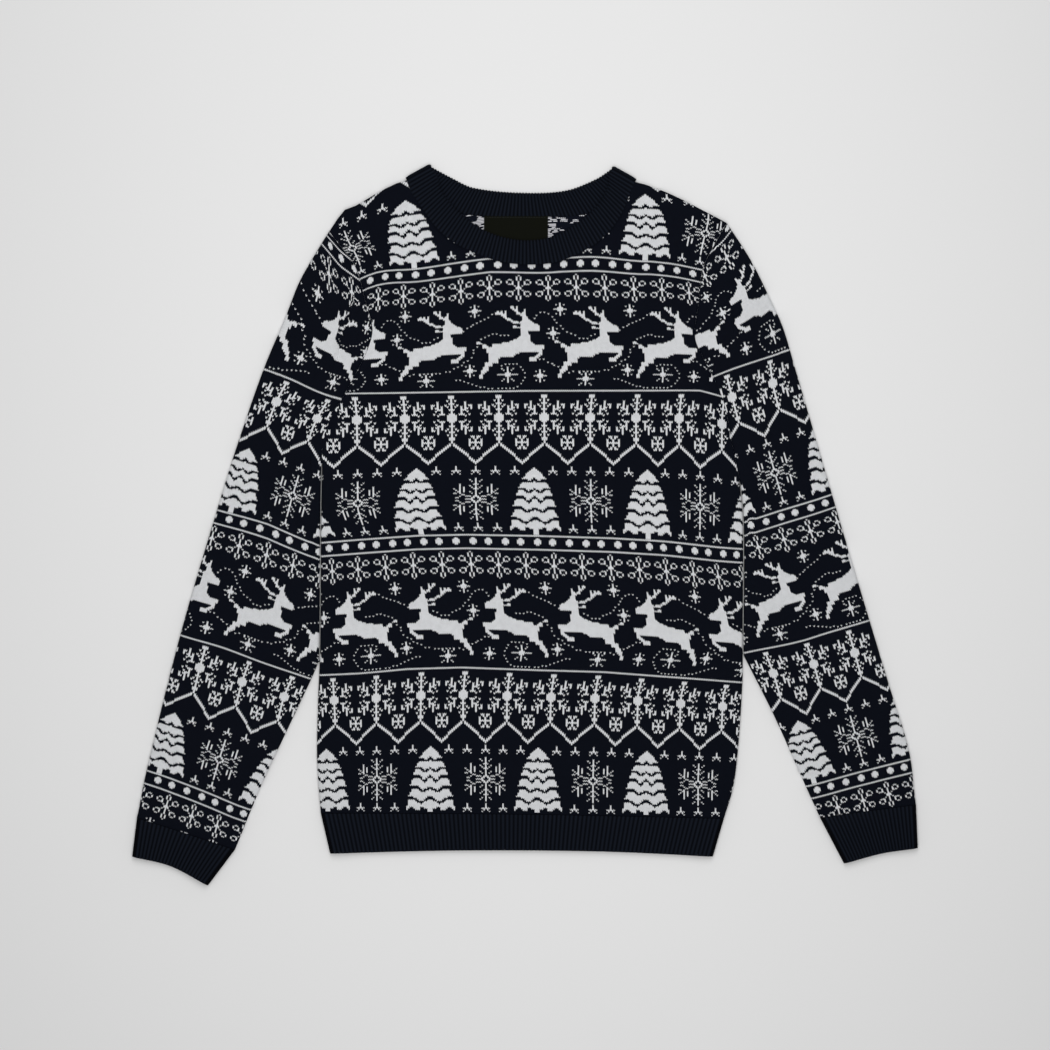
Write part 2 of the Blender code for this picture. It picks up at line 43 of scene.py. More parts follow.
# Plan tables below are in millimetres: columns x, y. Blender's lengths are metres.
millimetre = 0.001
originY = 0.92          # the middle of the garment's outline, in the tables

cloth = {
    "wall": 2.2,            # patterned knit with its floats
    "ribWall": 2.4,
    "ribHeight": 0.8,
    "seamGap": 0.3,
    "besideBody": 0.8,      # a sleeve's near edge keeps this far from the body's side
    "seamDip": 0.9,         # how far the outer face sinks into a seam
    "seamReach": 3.2,       # and how far from it
    "foldRadius": 3.5,
    "settled": 5.3,         # top of the upper wall where it lies on the lower one
    "settleOver": 38.0,     # and how far from the fold it gets there
    "foldsOver": 14.0,      # soft ridges fade in over this much
    "plainPlace": (12.0, 6.0),      # a stitch and row with no pattern, for cut edges
}

outline = {
    "sideLeft": [(-204.3, -287.2), (-208, -234.5), (-207, -174.5), (-205, -124.5), (-204, 5.5),
                 (-203, 62.5)],
    "sideRight": [(199, -292.5), (208, -262.5), (213, -224.5), (217.5, -156.5), (217.7, -119.5),
                  (218, 5.5), (214.5, 45.5)],
    "armholeLeft": [(-203, 62.5), (-202, 85.5), (-195, 107.5), (-180, 132.5), (-153, 190.5),
                    (-160, 225.5), (-170, 259.5), (-188, 284.5), (-196, 294.5)],
    "armholeRight": [(214.5, 45.5), (209, 73.5), (197, 129.5), (177, 170.5), (170, 188.5),
                     (174, 225.5), (178, 257.5), (193, 287.5), (202, 303)],
    "shoulderLeft": [(-196, 294.5), (-180, 316.5), (-169, 320.5), (-149, 332.5), (-129, 342.5),
                     (-117, 346)],
    "shoulderRight": [(109, 344.5), (127, 339.5), (153, 328.5), (186, 311.5), (202, 303)],
    "neckFront": [(-117, 346), (-114, 336.5), (-102, 318.5), (-86, 297), (-62, 279.5),
                  (-20, 264.5), (27, 264), (63, 278.5), (84, 296), (97, 315.5),
                  (105, 335.5), (109, 344.5)],
    "neckBack": [(-117, 346), (-90, 324), (-58, 311.5), (3, 309.5), (59, 311.5),
                 (88, 324), (109, 344.5)],
    "hemSeam": [(-204.3, -287.2), (-1, -288.5), (199, -292.5)],
    "hemEnd": [(-195, -327.5), (-65, -324.5), (75, -325.5), (188, -330.5)],
    "outerLeft": [(-196, 294.5), (-203, 283.5), (-225, 245.5), (-239, 210.5), (-262, 155.5),
                  (-288, 80.5), (-305, 26.5), (-345, -109.5), (-379, -246.5), (-388, -291.5)],
    "outerRight": [(202, 303), (226, 265.5), (245, 227.5), (258, 198.5), (270, 158.5),
                   (297, 66.5), (321, -15.5), (364, -158.5), (384, -224.5), (391, -278.5)],
    "innerLeft": [(-205.8, -134.5), (-214, -153.5), (-239, -206.5), (-262, -255.5),
                  (-290, -323.5)],
    "innerRight": [(218.2, -128.5), (249, -189.5), (275, -247.5), (295, -291.5)],
    "cuffEndLeft": [(-393, -330.5), (-355, -340), (-317, -359.5)],
    "cuffEndRight": [(393, -322), (357, -327.5), (319, -337.5)],
    "bandEdgeFront": [(-93.3, 359), (-87, 347.5), (-84, 336.5), (-72, 320), (-49, 300.5),
                      (-25, 289.5), (3, 285.5), (31, 290.5), (59, 308), (76, 325),
                      (83, 340), (83.5, 349.5), (86.4, 357)],
    "bandEdgeBack": [(-93.3, 359), (-72, 347.5), (-52, 338.5), (-6, 333.5), (40, 335.5),
                     (71, 347), (86.4, 357)],
}

# Soft ridges (+) and troughs (-): columns x0, y0, x1, y1, half width, height.
bodyFolds = [
    (-196, 78, -112, 132, 13, 1.7), (-199, 30, -118, 18, 16, 1.2), (-172, 150, -120, 214, 15, 1.0),
    (206, 62, 148, 142, 12, 2.1), (213, 6, 120, -12, 17, 1.5), (176, 176, 132, 236, 15, 1.0),
    (-62, 242, 66, 238, 18, 1.1), (-190, -150, -58, -104, 20, 1.2), (202, -186, 66, -126, 18, 1.4),
    (-24, -66, 6, 118, 34, 0.9), (-152, -282, -140, -214, 18, 1.3), (-58, -284, -66, -228, 16, 1.0),
    (44, -284, 38, -220, 18, 1.2), (132, -286, 146, -216, 16, 1.3), (-140, 336, -150, 256, 14, 1.1),
    (134, 330, 150, 252, 14, 1.1)]
sleeveFolds = {
    "left": [(-220, 236, -186, 152, 13, 1.5), (-262, 120, -214, 86, 14, 1.3), (-296, 22, -214, 26, 12, 1.6),
             (-322, -48, -226, -62, 13, 1.4), (-346, -128, -262, -140, 14, 1.2),
             (-372, -206, -288, -236, 12, 1.5), (-352, -276, -346, -244, 10, 1.0)],
    "right": [(236, 236, 198, 168, 13, 1.4), (270, 122, 222, 92, 14, 1.5), (304, 12, 226, 30, 12, 1.4),
              (330, -66, 236, -66, 13, 1.6), (358, -140, 262, -134, 14, 1.1), (374, -214, 284, -226, 12, 1.5),
              (348, -270, 344, -236, 10, 1.0)],
}


# Curves and grids in plan
def smoothPath(table, spacing=1.5):
    points = np.array(table, float)
    points = np.vstack([2 * points[0] - points[1], points, 2 * points[-1] - points[-2]])
    path = [points[1:2]]
    for before, start, end, after in zip(points, points[1:], points[2:], points[3:]):
        span = np.linalg.norm(end - start)
        leadIn = (end - before) * span / (np.linalg.norm(start - before) + span)
        leadOut = (after - start) * span / (np.linalg.norm(after - end) + span)
        steps = max(2, round(span / spacing))
        t = (np.arange(1, steps + 1) / steps)[:, None]
        path.append(start * (2 * t**3 - 3 * t**2 + 1) + leadIn * (t**3 - 2 * t**2 + t)
                    + end * (3 * t**2 - 2 * t**3) + leadOut * (t**3 - t**2))
    return np.vstack(path)


def walked(path):
    return np.concatenate([[0.0], np.cumsum(np.linalg.norm(np.diff(path, axis=0), axis=1))])


def along(path, distances):
    run = walked(path)
    return np.stack([np.interp(distances, run, path[:, k]) for k in range(path.shape[1])], axis=1)


def evenly(path, count):
    return along(path, np.linspace(0, walked(path)[-1], count + 1))


def leftOf(path):
    step = np.gradient(path, axis=0)
    normal = np.stack([-step[:, 1], step[:, 0]], axis=1)
    return normal / np.linalg.norm(normal, axis=1)[:, None]


def smoothStep(t):
    t = np.clip(t, 0.0, 1.0)
    return t * t * (3 - 2 * t)


def nearest(points, paths):
    # distance and direction from the nearest path, worked out for 4000 points at a time
    flat, batch, onPath = points.reshape(-1, 2), 4000, 0.5
    best = np.full(len(flat), np.inf)
    away = np.zeros_like(flat)
    for path in paths:
        start, step = path[:-1], np.diff(path, axis=0)
        for begin in range(0, len(flat), batch):
            some = slice(begin, begin + batch)
            gap = flat[some, None, :] - start[None]
            t = np.clip((gap * step).sum(2) / (step**2).sum(1), 0, 1)
            gap = gap - step[None] * t[..., None]
            distance = np.linalg.norm(gap, axis=2)
            pick = distance.argmin(1)
            rows = np.arange(len(pick))
            close = distance[rows, pick]
            across = gap[rows, pick]
            side = np.stack([-step[pick, 1], step[pick, 0]], axis=1)
            across = np.where(close[:, None] > onPath, across, side)
            across = across / np.linalg.norm(across, axis=1)[:, None]
            better = close < best[some]
            best[some] = np.where(better, close, best[some])
            away[some] = np.where(better[:, None], across, away[some])
    return best.reshape(points.shape[:-1]), away.reshape(points.shape)


def foldHeight(points, folds):
    height = np.zeros(points.shape[:-1])
    for x0, y0, x1, y1, halfWidth, rise in folds:
        start, step = np.array([x0, y0], float), np.array([x1 - x0, y1 - y0], float)
        t = ((points - start) * step).sum(-1) / (step**2).sum()
        off = np.linalg.norm(points - start - step * np.clip(t, 0, 1)[..., None], axis=-1)
        fade = smoothStep(np.minimum(t, 1 - t) * 3 + 0.6)
        height += rise * fade * np.exp(-(off / halfWidth)**2)
    return height


def wallPoints(points, fromFold, away, folds, upper, wall, openFold, seams=None):
    radius = cloth["foldRadius"]
    turn = np.arccos(np.clip(1 - fromFold / radius, 0, 1))
    sign = 1 if upper else -1
    rise = radius * np.sin(turn)
    if openFold:
        rise = np.maximum(rise, cloth["seamGap"] / 2)
    z = radius + sign * rise
    if upper:
        beyond = fromFold - radius
        settled = 2 * radius + (cloth["settled"] - 2 * radius) * smoothStep(beyond / cloth["settleOver"])
        settled = settled + foldHeight(points, folds) * smoothStep(beyond / cloth["foldsOver"])
        z = np.where(fromFold > radius, settled, z)
    inner = np.empty(points.shape[:-1] + (3,))
    inner[..., :2] = points + away * (wall * np.cos(turn))[..., None]
    inner[..., 2] = z - sign * wall * np.sin(turn)
    if upper and seams:
        near = nearest(points, seams)[0]
        z = z - cloth["seamDip"] * np.exp(-(near / cloth["seamReach"])**2) * smoothStep(fromFold / radius)
    return np.concatenate([points, z[..., None]], axis=-1), inner


# Meshes
def gridFaces(rows, columns, first, wrap):
    i, j = np.meshgrid(np.arange(rows - 1), np.arange(columns if wrap else columns - 1), indexing="ij")
    k = (j + 1) % columns
    corners = [(i, j, j), (i, k, j + 1), (i + 1, k, j + 1), (i + 1, j, j)]
    faces = np.stack([first + a * columns + b for a, b, c in corners], axis=-1).reshape(-1, 4)
    uvIndex = np.stack([a * (columns + 1 if wrap else columns) + c for a, b, c in corners], axis=-1)
    return faces, uvIndex.reshape(-1, 4)


def makeMesh(name, vertices, faces, uvs, slots, materials, smoothAngle=50):
    mesh = bpy.data.meshes.new(name)
    moved = (vertices - np.array([0.0, originY, 0.0])) * millimetre
    mesh.from_pydata(moved.tolist(), [], faces.tolist())
    layer = mesh.uv_layers.new(name="knit")
    layer.data.foreach_set("uv", uvs.reshape(-1, 2).astype(np.float32).ravel())
    mesh.polygons.foreach_set("material_index", slots.astype(np.int32))
    for material in materials:
        mesh.materials.append(material)
    bm = bmesh.new()
    bm.from_mesh(mesh)
    bmesh.ops.recalc_face_normals(bm, faces=bm.faces)
    if bm.calc_volume(signed=True) < 0:
        bmesh.ops.reverse_faces(bm, faces=bm.faces)
    bm.to_mesh(mesh)
    bm.free()
    mesh.shade_smooth()
    mesh.set_sharp_from_angle(angle=math.radians(smoothAngle))
    piece = bpy.data.objects.new(name, mesh)
    bpy.context.collection.objects.link(piece)
    return piece


def takePlaceOf(piece, node):
    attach(piece, "root")
    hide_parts(node)


def closedWall(name, outer, inner, uv, isTube, materials):
    rows, columns = outer.shape[:2]
    count = rows * columns
    faceSets, uvSets, slotSets = [], [], []
    flat = uv.reshape(-1, 2)
    for first, slot in ((0, 0), (count, len(materials) - 1)):
        faces, index = gridFaces(rows, columns, first, isTube)
        faceSets.append(faces)
        uvSets.append(flat[index])
        slotSets.append(np.full(len(faces), slot))
    j = np.arange(columns if isTube else columns - 1)
    k = (j + 1) % columns
    for row in (0, rows - 1):
        faceSets.append(np.stack([row * columns + j, row * columns + k,
                                  count + row * columns + k, count + row * columns + j], axis=1))
        uvSets.append(np.tile(cloth["plainPlace"], (len(j), 4, 1)))
        slotSets.append(np.zeros(len(j)))
    if not isTube:
        i = np.arange(rows - 1)
        for column in (0, columns - 1):
            low, high = i * columns + column, (i + 1) * columns + column
            faceSets.append(np.stack([low, high, count + high, count + low], axis=1))
            edge = np.stack([flat[low], flat[high]], axis=1)
            uvSets.append(np.concatenate([edge, edge[:, ::-1]], axis=1))
            slotSets.append(np.zeros(len(i)))
    vertices = np.concatenate([outer.reshape(-1, 3), inner.reshape(-1, 3)])
    return makeMesh(name, vertices, np.concatenate(faceSets), np.concatenate(uvSets),
                    np.concatenate(slotSets), materials)


# Where each stitch and row lies, in plan. Rows are counted down from the line above the upper
# snowflake band, stitches to the right from a snowflake's middle.
bodyRows = {            # row: points x, y along it
    -79.4: [(-159, 236.5), (-125, 242.5), (-95, 246.5), (-35, 254.5), (35, 255.5), (75, 253.5),
            (125, 251.5), (174, 244.5)],
    0.0: [(-180, 132.5), (-125, 133), (0, 135), (175, 135.5), (197, 129.5)],
    96.3: [(-205, -17.5), (-163, -14.1), (-107, -10.2), (-58, -9.2), (14, -10.5), (87, -12.8),
           (140, -15.9), (194, -22), (216, -23.5)],
    184.0: [(-205, -149.2), (-164, -147.4), (-118, -143.1), (-64, -141.5), (14, -144.3), (79, -146.1),
            (163, -152.4), (217, -156.5)],
    278.9: [(-205, -287.2), (-1, -288.5), (199, -292.5)],
}
bodyStitches = {        # height y: points stitch, x
    287.5: [(0, -171), (30, -112), (150, 120.6), (180, 174)],
    258: [(4.3, -154.7), (30, -110.2), (90, 4.6), (150, 120.4), (175.7, 166.6)],
    237: [(9, -146.2), (24, -121.2), (39, -92.7), (84, -6.9), (99, 22.8), (144, 109.4), (159, 136.5),
          (174, 164.4)],
    149: [(14, -144), (36, -99), (58, -55), (77, -17), (94, 15), (116, 61), (138, 103), (157, 138),
          (174, 169)],
    108.5: [(0, -168), (24, -120), (48, -73), (72, -26), (96, 19), (120, 65), (144, 111), (168, 154),
            (192, 197)],
    15.5: [(0, -167), (30, -109), (60, -49), (90, 10), (120, 66), (150, 123), (180, 175)],
    -15: [(-21.4, -196.4), (30, -102.1), (90, 11.7), (150, 123.4), (192.9, 196.7)],
    -40: [(-21, -192.9), (-6, -167.4), (24, -111.7), (54, -53.6), (84, 1), (114, 57.1), (144, 114),
          (174, 167.4), (189, 191.4)],
    -124.5: [(-3, -154), (77, -3), (157, 148)],
    -169.5: [(-24, -191), (0, -149), (24, -104), (48, -62), (72, -18), (96, 26), (120, 70), (144, 113),
             (168, 156), (192, 198)],
    -254.5: [(-30, -197), (0, -148), (30, -95), (60, -39), (90, 12), (120, 68), (150, 121), (180, 173)],
}
sleeveRows = {
    "left": {-79.4: [(-202, 280.5), (-185, 260.5), (-167, 246.5)],
             0.0: [(-262, 156.5), (-233, 145.5), (-185, 125.5)],
             96.3: [(-308, 16), (-257, 1.5), (-207, -18.5)],
             184.0: [(-345, -109), (-285, -129.5), (-213, -153.5)],
             280.3: [(-380, -245.5), (-271, -282.5)]},
    "right": {-79.4: [(206, 296.5), (197, 284.5), (183, 272.5)],
              0.0: [(263, 176.5), (237, 167.5), (188, 148.9)],
              96.3: [(306, 31.5), (216, 2.5)],
              184.0: [(344, -94.5), (281, -113.5), (221, -126.9)],
              280.3: [(384, -234.1), (280, -260.1)]},
}
sleeveColumns = {       # one column of stitches down the sleeve: x, y
    "left": {"stitch": 120, "pitch": (1.82, 1.86),
             "points": [(-201.4, 128.5), (-208, 108.1), (-216, 84.5), (-232.4, 29.5), (-240.6, 0.1),
                        (-282.6, -155.5), (-288, -178.5), (-305, -231.5), (-313, -259.5)]},
    "right": {"stitch": 60, "pitch": (1.776, 1.765),
              "points": [(227, 135.5), (242.4, 79.5), (250, 52.5), (258.6, 22.5), (309, -132.5),
                         (323.6, -184.1), (331, -211.5), (339, -239.5)]},
}
rowPitch = 1.505

# Pins: where a motif's middle lies: x, y, stitch, row. A line has no stitch. They draw the maps above
# into the uneven knit at the shoulders and along the sleeves.
pins = {
    "reach": 24.0,      # how far a pin's pull spreads
    "slack": 0.25,      # how loosely it holds: 0 would meet every pin
    "body": [
        (-171, 278, 0, -112), (-180, 294, 0, -126), (-167, 261.5, 0, -98), (-144, 316, 20, -131),
        (-164.5, 310, 10, -131), (-184, 299, 0, -131), (-146, 261, 10, -93), (-163, 253.5, 0, -93),
        (-121, 325, 30, -133), (-111, 258.5, 30, -89.5), (-135, 260.5, 17, -93), (-86, 267, 43, -93),
        (-74.5, 270, 50, -93), (-159.5, 235.5, None, -79), (-150, 242, None, -79), (-128, 242, None, -79),
        (-164, 245, None, -88), (-151, 254.5, None, -88), (-145, 255.5, None, -88),
        (-140.5, 249, 13.5, -84), (-110, 252, 30, -84), (-77, 255.5, 47.5, -84), (-45, 260, 64.5, -84),
        (-146, 228, 9, -68.5), (-122, 229.5, 24, -68.5), (119, 330.5, 150, -133), (143, 327, 160, -131),
        (180, 292.5, 180, -112), (186, 310.5, 180, -126), (176, 273, 180, -98), (120.5, 266.5, 150, -89.5),
        (94.5, 273, 137, -93), (145.5, 270, 163, -93), (82, 276, 130, -93), (156, 268, 170, -93),
        (175, 263, 180, -93), (22.5, 260, 98.5, -84), (55, 263, 116.5, -84), (87, 261, 133.5, -84),
        (120.5, 258.5, 150.5, -84), (152, 255.5, 167.5, -84), (167, 252.5, 176.5, -84),
        (23, 238, 99, -68.5), (80, 237.5, 129, -68.5), (137, 236.5, 159, -68.5), (164, 234, 174, -68.5),
        (90, 254.5, None, -79), (157.5, 248, None, -79), (174, 243.5, None, -79), (90, 268, None, -88),
        (157.5, 259, None, -88), (177.5, 255.5, None, -88)],
    "left": [
        (-195, 281, 98.5, -84), (-183.5, 268.5, 107.5, -84), (-172.5, 257.5, 116.5, -84),
        (-202.5, 281, None, -79), (-194, 270.5, None, -79), (-184, 260.5, None, -79),
        (-175, 251.5, None, -79), (-166, 247.5, None, -79), (-195, 249.5, 99, -68.5),
        (-172, 233.5, 114, -68.5), (-206.5, 230.5, 93, -54), (-201, 202.5, 99, -42),
        (-210.5, 185.5, 97.5, -29), (-172.5, 143.5, 131, -9), (-162, 166, 133, -32),
        (-190, 141.5, 118, -8), (-224.5, 167.5, 96, -14), (-236.5, 164.5, 91, -9), (-221, 198, 93, -32),
        (-260, 156, None, 0), (-234, 147.5, None, 0), (-186, 126, None, 0), (-248.5, 124, 96, 17.5),
        (-208, 108, 120, 17.5), (-276, 76.5, 90, 51), (-296.5, 6.5, 90, 100), (-220, -21, 133.5, 100),
        (-286, -19.5, 99, 115.5), (-258.5, -29.5, 114, 115.5), (-232, -39.5, 129, 115.5),
        (-279, -46, 105, 130), (-295, -65.5, 101, 146), (-213.5, -69, 141, 130), (-319.5, -101.5, 94, 174),
        (-277, -118.5, 116, 176), (-235, -124.5, 138, 170), (-230.5, -81.5, 135, 142),
        (-299, -108, 103, 175), (-251, -107.5, 128, 163), (-226.5, -134.5, 143, 175),
        (-325, -141.5, 96, 201.5), (-283, -155.5, 120, 201.5), (-241, -170.5, 144, 201.5),
        (-350, -187.5, 90, 235), (-367, -253.5, 90, 284), (-282, -288, 141.5, 284)],
    "right": [
        (207, 295.5, None, -79), (195, 282.5, None, -79), (183, 271.5, None, -79),
        (198.5, 265.5, 69, -68.5), (180, 248.5, 54, -68.5), (181, 229.5, 49, -54), (197, 212.5, 53, -38),
        (204, 223, 59, -42), (225, 197.5, 66, -21), (209.5, 203.5, 57.5, -29), (211.5, 246.5, 67.5, -54),
        (217.5, 257.5, 70.5, -56), (203.5, 169.5, 51, -9), (222.5, 177.5, 60, -10),
        (248.5, 192.5, 77, -11), (263, 175.5, None, 0), (225, 163.5, None, 0), (188, 149, None, 0),
        (247.5, 142.5, 72, 17.5), (207, 129, 48, 17.5), (300, 22.5, 81.5, 100), (226, -0.5, 38.5, 100),
        (313, 4.5, 84, 115.5), (285, -5.5, 69, 115.5), (259, -13.5, 54, 115.5), (233, -21.5, 39, 115.5),
        (271.5, -51, 55, 142), (279, -68.5, 56.5, 155), (232.5, -110.5, 23, 175), (278.5, -30, 61, 130),
        (291, -88, 58, 170), (254.5, -108.5, 36, 176), (326, -82, 77, 173), (248.5, -147, 24, 201.5),
        (288.5, -138, 48, 201.5), (329.5, -127, 72, 201.5), (273, -195.5, 30, 235),
        (289, -256.5, 30, 278.5)],
}


def reach(x, table):
    table = np.array(table, float)
    table = table[np.argsort(table[:, 0])]
    low, high = table[1] - table[0], table[-1] - table[-2]
    xs, ys = table[:, 0], table[:, 1]
    value = np.interp(x, xs, ys)
    value = np.where(x < xs[0], ys[0] + (x - xs[0]) * low[1] / low[0], value)
    return np.where(x > xs[-1], ys[-1] + (x - xs[-1]) * high[1] / high[0], value)


def rowAt(points, rowTable):
    x, y = points[..., 0], points[..., 1]
    names = sorted(rowTable)
    heights = [reach(x, rowTable[name]) for name in names]
    row = names[0] - (y - heights[0]) / rowPitch
    for upperRow, lowerRow, high, low in zip(names, names[1:], heights, heights[1:]):
        share = (high - y) / (high - low)
        row = np.where(y < high, upperRow + (lowerRow - upperRow) * share, row)
    return np.where(y < heights[-1], names[-1] + (heights[-1] - y) / rowPitch, row)


def nearness(points, spots):
    gap = np.linalg.norm(points[:, None] - spots[None], axis=2)
    return np.exp(-0.5 * (gap / pins["reach"])**2)


def pinned(points, part, place):
    # what a map misses each pin by, spread smoothly round it
    flat = points.reshape(-1, 2)
    found = place(flat)
    for k in (0, 1):
        held = [pin for pin in pins[part] if pin[2 + k] is not None]
        spots = np.array([pin[:2] for pin in held], float)
        missed = np.array([pin[2 + k] for pin in held], float) - place(spots)[:, k]
        pull = np.linalg.solve(nearness(spots, spots) + pins["slack"] * np.eye(len(held)), missed)
        found[:, k] += nearness(flat, spots) @ pull
    return found.reshape(points.shape)


def bodyUv(points):
    x, y = points[..., 0], points[..., 1]
    levels = sorted(bodyStitches)
    stitches = [reach(x, [(b, a) for a, b in bodyStitches[level]]) for level in levels]
    stitch = stitches[0]
    for low, high, a, b in zip(levels, levels[1:], stitches, stitches[1:]):
        stitch = np.where(y > low, a + (b - a) * np.clip((y - low) / (high - low), 0, 1), stitch)
    return np.stack([stitch, rowAt(points, bodyRows)], axis=-1)


def sleeveUv(points, side):
    column = sleeveColumns[side]
    middle = np.array(column["points"], float)
    middleRows = rowAt(middle, sleeveRows[side])
    row = rowAt(points, sleeveRows[side])
    centre = np.stack([reach(row, np.stack([middleRows, middle[:, k]], axis=1)) for k in (0, 1)], axis=-1)
    first, last = column["pitch"]
    pitch = first + (last - first) * np.clip(row / 200, 0, 1.3)
    gap = points - centre
    stitch = column["stitch"] + np.sign(gap[..., 0]) * np.linalg.norm(gap, axis=-1) / pitch
    return np.stack([stitch, row], axis=-1)


# Body panels
panel = {
    "sideRows": 100,
    "armholeRows": 66,
    "neckColumns": 74,
    "shoulderColumns": 8,
    "foldAngles": (0, 15, 30, 45, 60, 75, 90),
    "foldSpacing": 6,
    "seamSpacing": 3,
    "backMirror": 144,      # twice the stitch that the back's pattern is mirrored about
}


def nearFold():
    angles = np.radians(panel["foldAngles"])
    return cloth["foldRadius"] * (1 - np.cos(angles))


def armholeStations(total, count):
    start = nearFold()
    middle = np.linspace(start[-1], total - start[-1], count + 1)
    return np.concatenate([start[:-1], middle, total - start[-2::-1]])


def shoulderRun(path, reverse):
    total = walked(path)[-1]
    steps = nearFold()
    steps[0] = cloth["seamGap"] / 2
    steps = np.concatenate([steps, np.linspace(steps[-1], total, panel["shoulderColumns"] + 1)[1:]])
    return along(path, total - steps[::-1] if reverse else steps)


def panelPlan(neck):
    edges = []
    for side, armhole, towards in (("sideLeft", "armholeLeft", -1), ("sideRight", "armholeRight", 1)):
        low = evenly(smoothPath(outline[side]), panel["sideRows"])
        curve = smoothPath(outline[armhole])
        high = along(curve, armholeStations(walked(curve)[-1], panel["armholeRows"]))
        high = high + leftOf(high) * towards * cloth["seamGap"] / 2
        edges.append(np.vstack([low[:-1], high]))
    left, right = edges
    top = np.vstack([shoulderRun(smoothPath(outline["shoulderLeft"]), False)[:-1],
                     evenly(smoothPath(outline[neck]), panel["neckColumns"]),
                     shoulderRun(smoothPath(outline["shoulderRight"]), True)[1:]])
    hem = smoothPath(outline["hemSeam"])
    spread = (top[:, 0] - top[0, 0]) / (top[-1, 0] - top[0, 0])
    bottom = along(hem, walked(hem)[-1] * spread) + np.array([0, cloth["seamGap"] / 2])
    v = (walked(left) / walked(left)[-1])[:, None, None]
    s = spread[None, :, None]
    across = left[:, None] * (1 - s) + right[:, None] * s
    lowGap = bottom[None] - (left[0] * (1 - s) + right[0] * s)
    highGap = top[None] - (left[-1] * (1 - s) + right[-1] * s)
    return across + lowGap * (1 - v) + highGap * v


def makePanel(name, node, neck, upper, materials):
    left, right, shoulderLeft, shoulderRight = (
        smoothPath(outline[k], panel["foldSpacing"])
        for k in ("sideLeft", "sideRight", "shoulderLeft", "shoulderRight"))
    closed = [left[::-1], right, shoulderLeft[::-1], shoulderRight[::-1]]
    seams = [smoothPath(outline[k], panel["seamSpacing"])
             for k in ("armholeLeft", "armholeRight", neck, "hemSeam")]
    plan = panelPlan(neck)
    distance, away = nearest(plan, closed)
    outer, inner = wallPoints(plan, distance, away, bodyFolds, upper, cloth["wall"], True, seams)
    uv = pinned(plan, "body", bodyUv)
    if not upper:
        uv[..., 0] = panel["backMirror"] - uv[..., 0]
    piece = closedWall(name, outer, inner, uv, False, materials)
    takePlaceOf(piece, node)


# Sleeves
sleeve = {
    "coarseRings": 17,
    "coarseAcross": 24,
    "relaxPasses": 600,
    "ringsEach": 9,         # fine rings for each coarse one
    "upperMids": 44,
    "lowerMids": 30,
    "besideFold": 12.0,
    "clearEach": 2.2,       # each ring down keeps this much further off the body
    "clearRings": 7,        # as far as this ring
    "clearEase": 1.15,
    "edgeProbes": 160,
}


def sleeveEdges(side):
    towards = -1 if side == "left" else 1
    sideName = side.capitalize()
    armhole = smoothPath(outline["armhole" + sideName])[::-1]
    far = smoothPath(outline["outer" + sideName])
    inner = smoothPath(outline["inner" + sideName])
    beside = smoothPath(outline["side" + sideName])[::-1]
    beside = beside[beside[:, 1] > inner[0, 1] + 3] + np.array([towards * cloth["besideBody"], 0])
    return armhole, far, np.vstack([armhole[-1:], beside[1:], inner]), towards


def coarsePlan(armhole, far, near, towards):
    rings, across = sleeve["coarseRings"], sleeve["coarseAcross"]
    shares = np.linspace(0, 1, across + 1)
    farPoints, nearPoints = evenly(far, rings), evenly(near, rings)
    first = evenly(armhole, across)
    w = shares[None, :, None]
    keep = (1 - np.arange(rings + 1) / rings)[:, None, None]
    straight = farPoints[:, None] * (1 - w) + nearPoints[:, None] * w
    grid = straight + (first - (far[0] * (1 - w[0]) + near[0] * w[0]))[None] * keep
    limitLine = np.vstack([armhole, near[1:]])
    order = np.argsort(limitLine[:, 1])
    clear = sleeve["clearEach"] * np.minimum(np.arange(rings + 1), sleeve["clearRings"])[:, None] \
        * ((1 - shares) / (sleeve["clearEase"] - shares))[None]
    push = clear[1:-1, 1:-1]
    for turn in range(sleeve["relaxPasses"]):
        mean = (grid[:-2, 1:-1] + grid[2:, 1:-1] + grid[1:-1, :-2] + grid[1:-1, 2:]) / 4
        limit = np.interp(mean[..., 1], limitLine[order, 1], limitLine[order, 0])
        inside = towards * (mean[..., 0] - limit) < push
        inside &= mean[..., 1] > limitLine[:, 1].min()
        mean[..., 0] = np.where(inside, limit + towards * push, mean[..., 0])
        grid[1:-1, 1:-1] = mean
    return grid


def finePlan(grid, far, near):
    rings = sleeve["coarseRings"]
    count = rings * sleeve["ringsEach"]
    at = np.arange(rings + 1)
    fine = np.linspace(0, rings, count + 1)
    across = grid.shape[1]
    rowsOut = np.empty((count + 1, across, 2))
    for j in range(across):
        for k in (0, 1):
            rowsOut[:, j, k] = np.interp(fine, at, grid[:, j, k])
    farGap = evenly(far, count) - rowsOut[:, 0]
    nearGap = evenly(near, count) - rowsOut[:, -1]
    shares = np.linspace(0, 1, across)[None, :, None]
    return rowsOut + farGap[:, None] * (1 - shares)**3 + nearGap[:, None] * shares**3


def edgeStations(path, edge, total):
    steps = np.linspace(0, total / 2, sleeve["edgeProbes"])
    distances = nearest(along(path, steps), [edge])[0]
    rising = np.maximum.accumulate(distances - distances[0])
    targets = np.concatenate([nearFold()[1:], [sleeve["besideFold"]]])
    rising = rising + np.arange(len(steps)) * 1e-6       # so that no two are the same
    return np.concatenate([[0.0], np.interp(targets, rising, steps)])


def alongRing(points, firstHalf):
    # from each point towards the middle of its wall
    step = np.diff(points, axis=0)
    forward, backward = np.vstack([step, step[-1:]]), -np.vstack([step[:1], step])
    away = np.where(firstHalf[:, None], forward, backward)
    return away / np.linalg.norm(away, axis=1)[:, None]


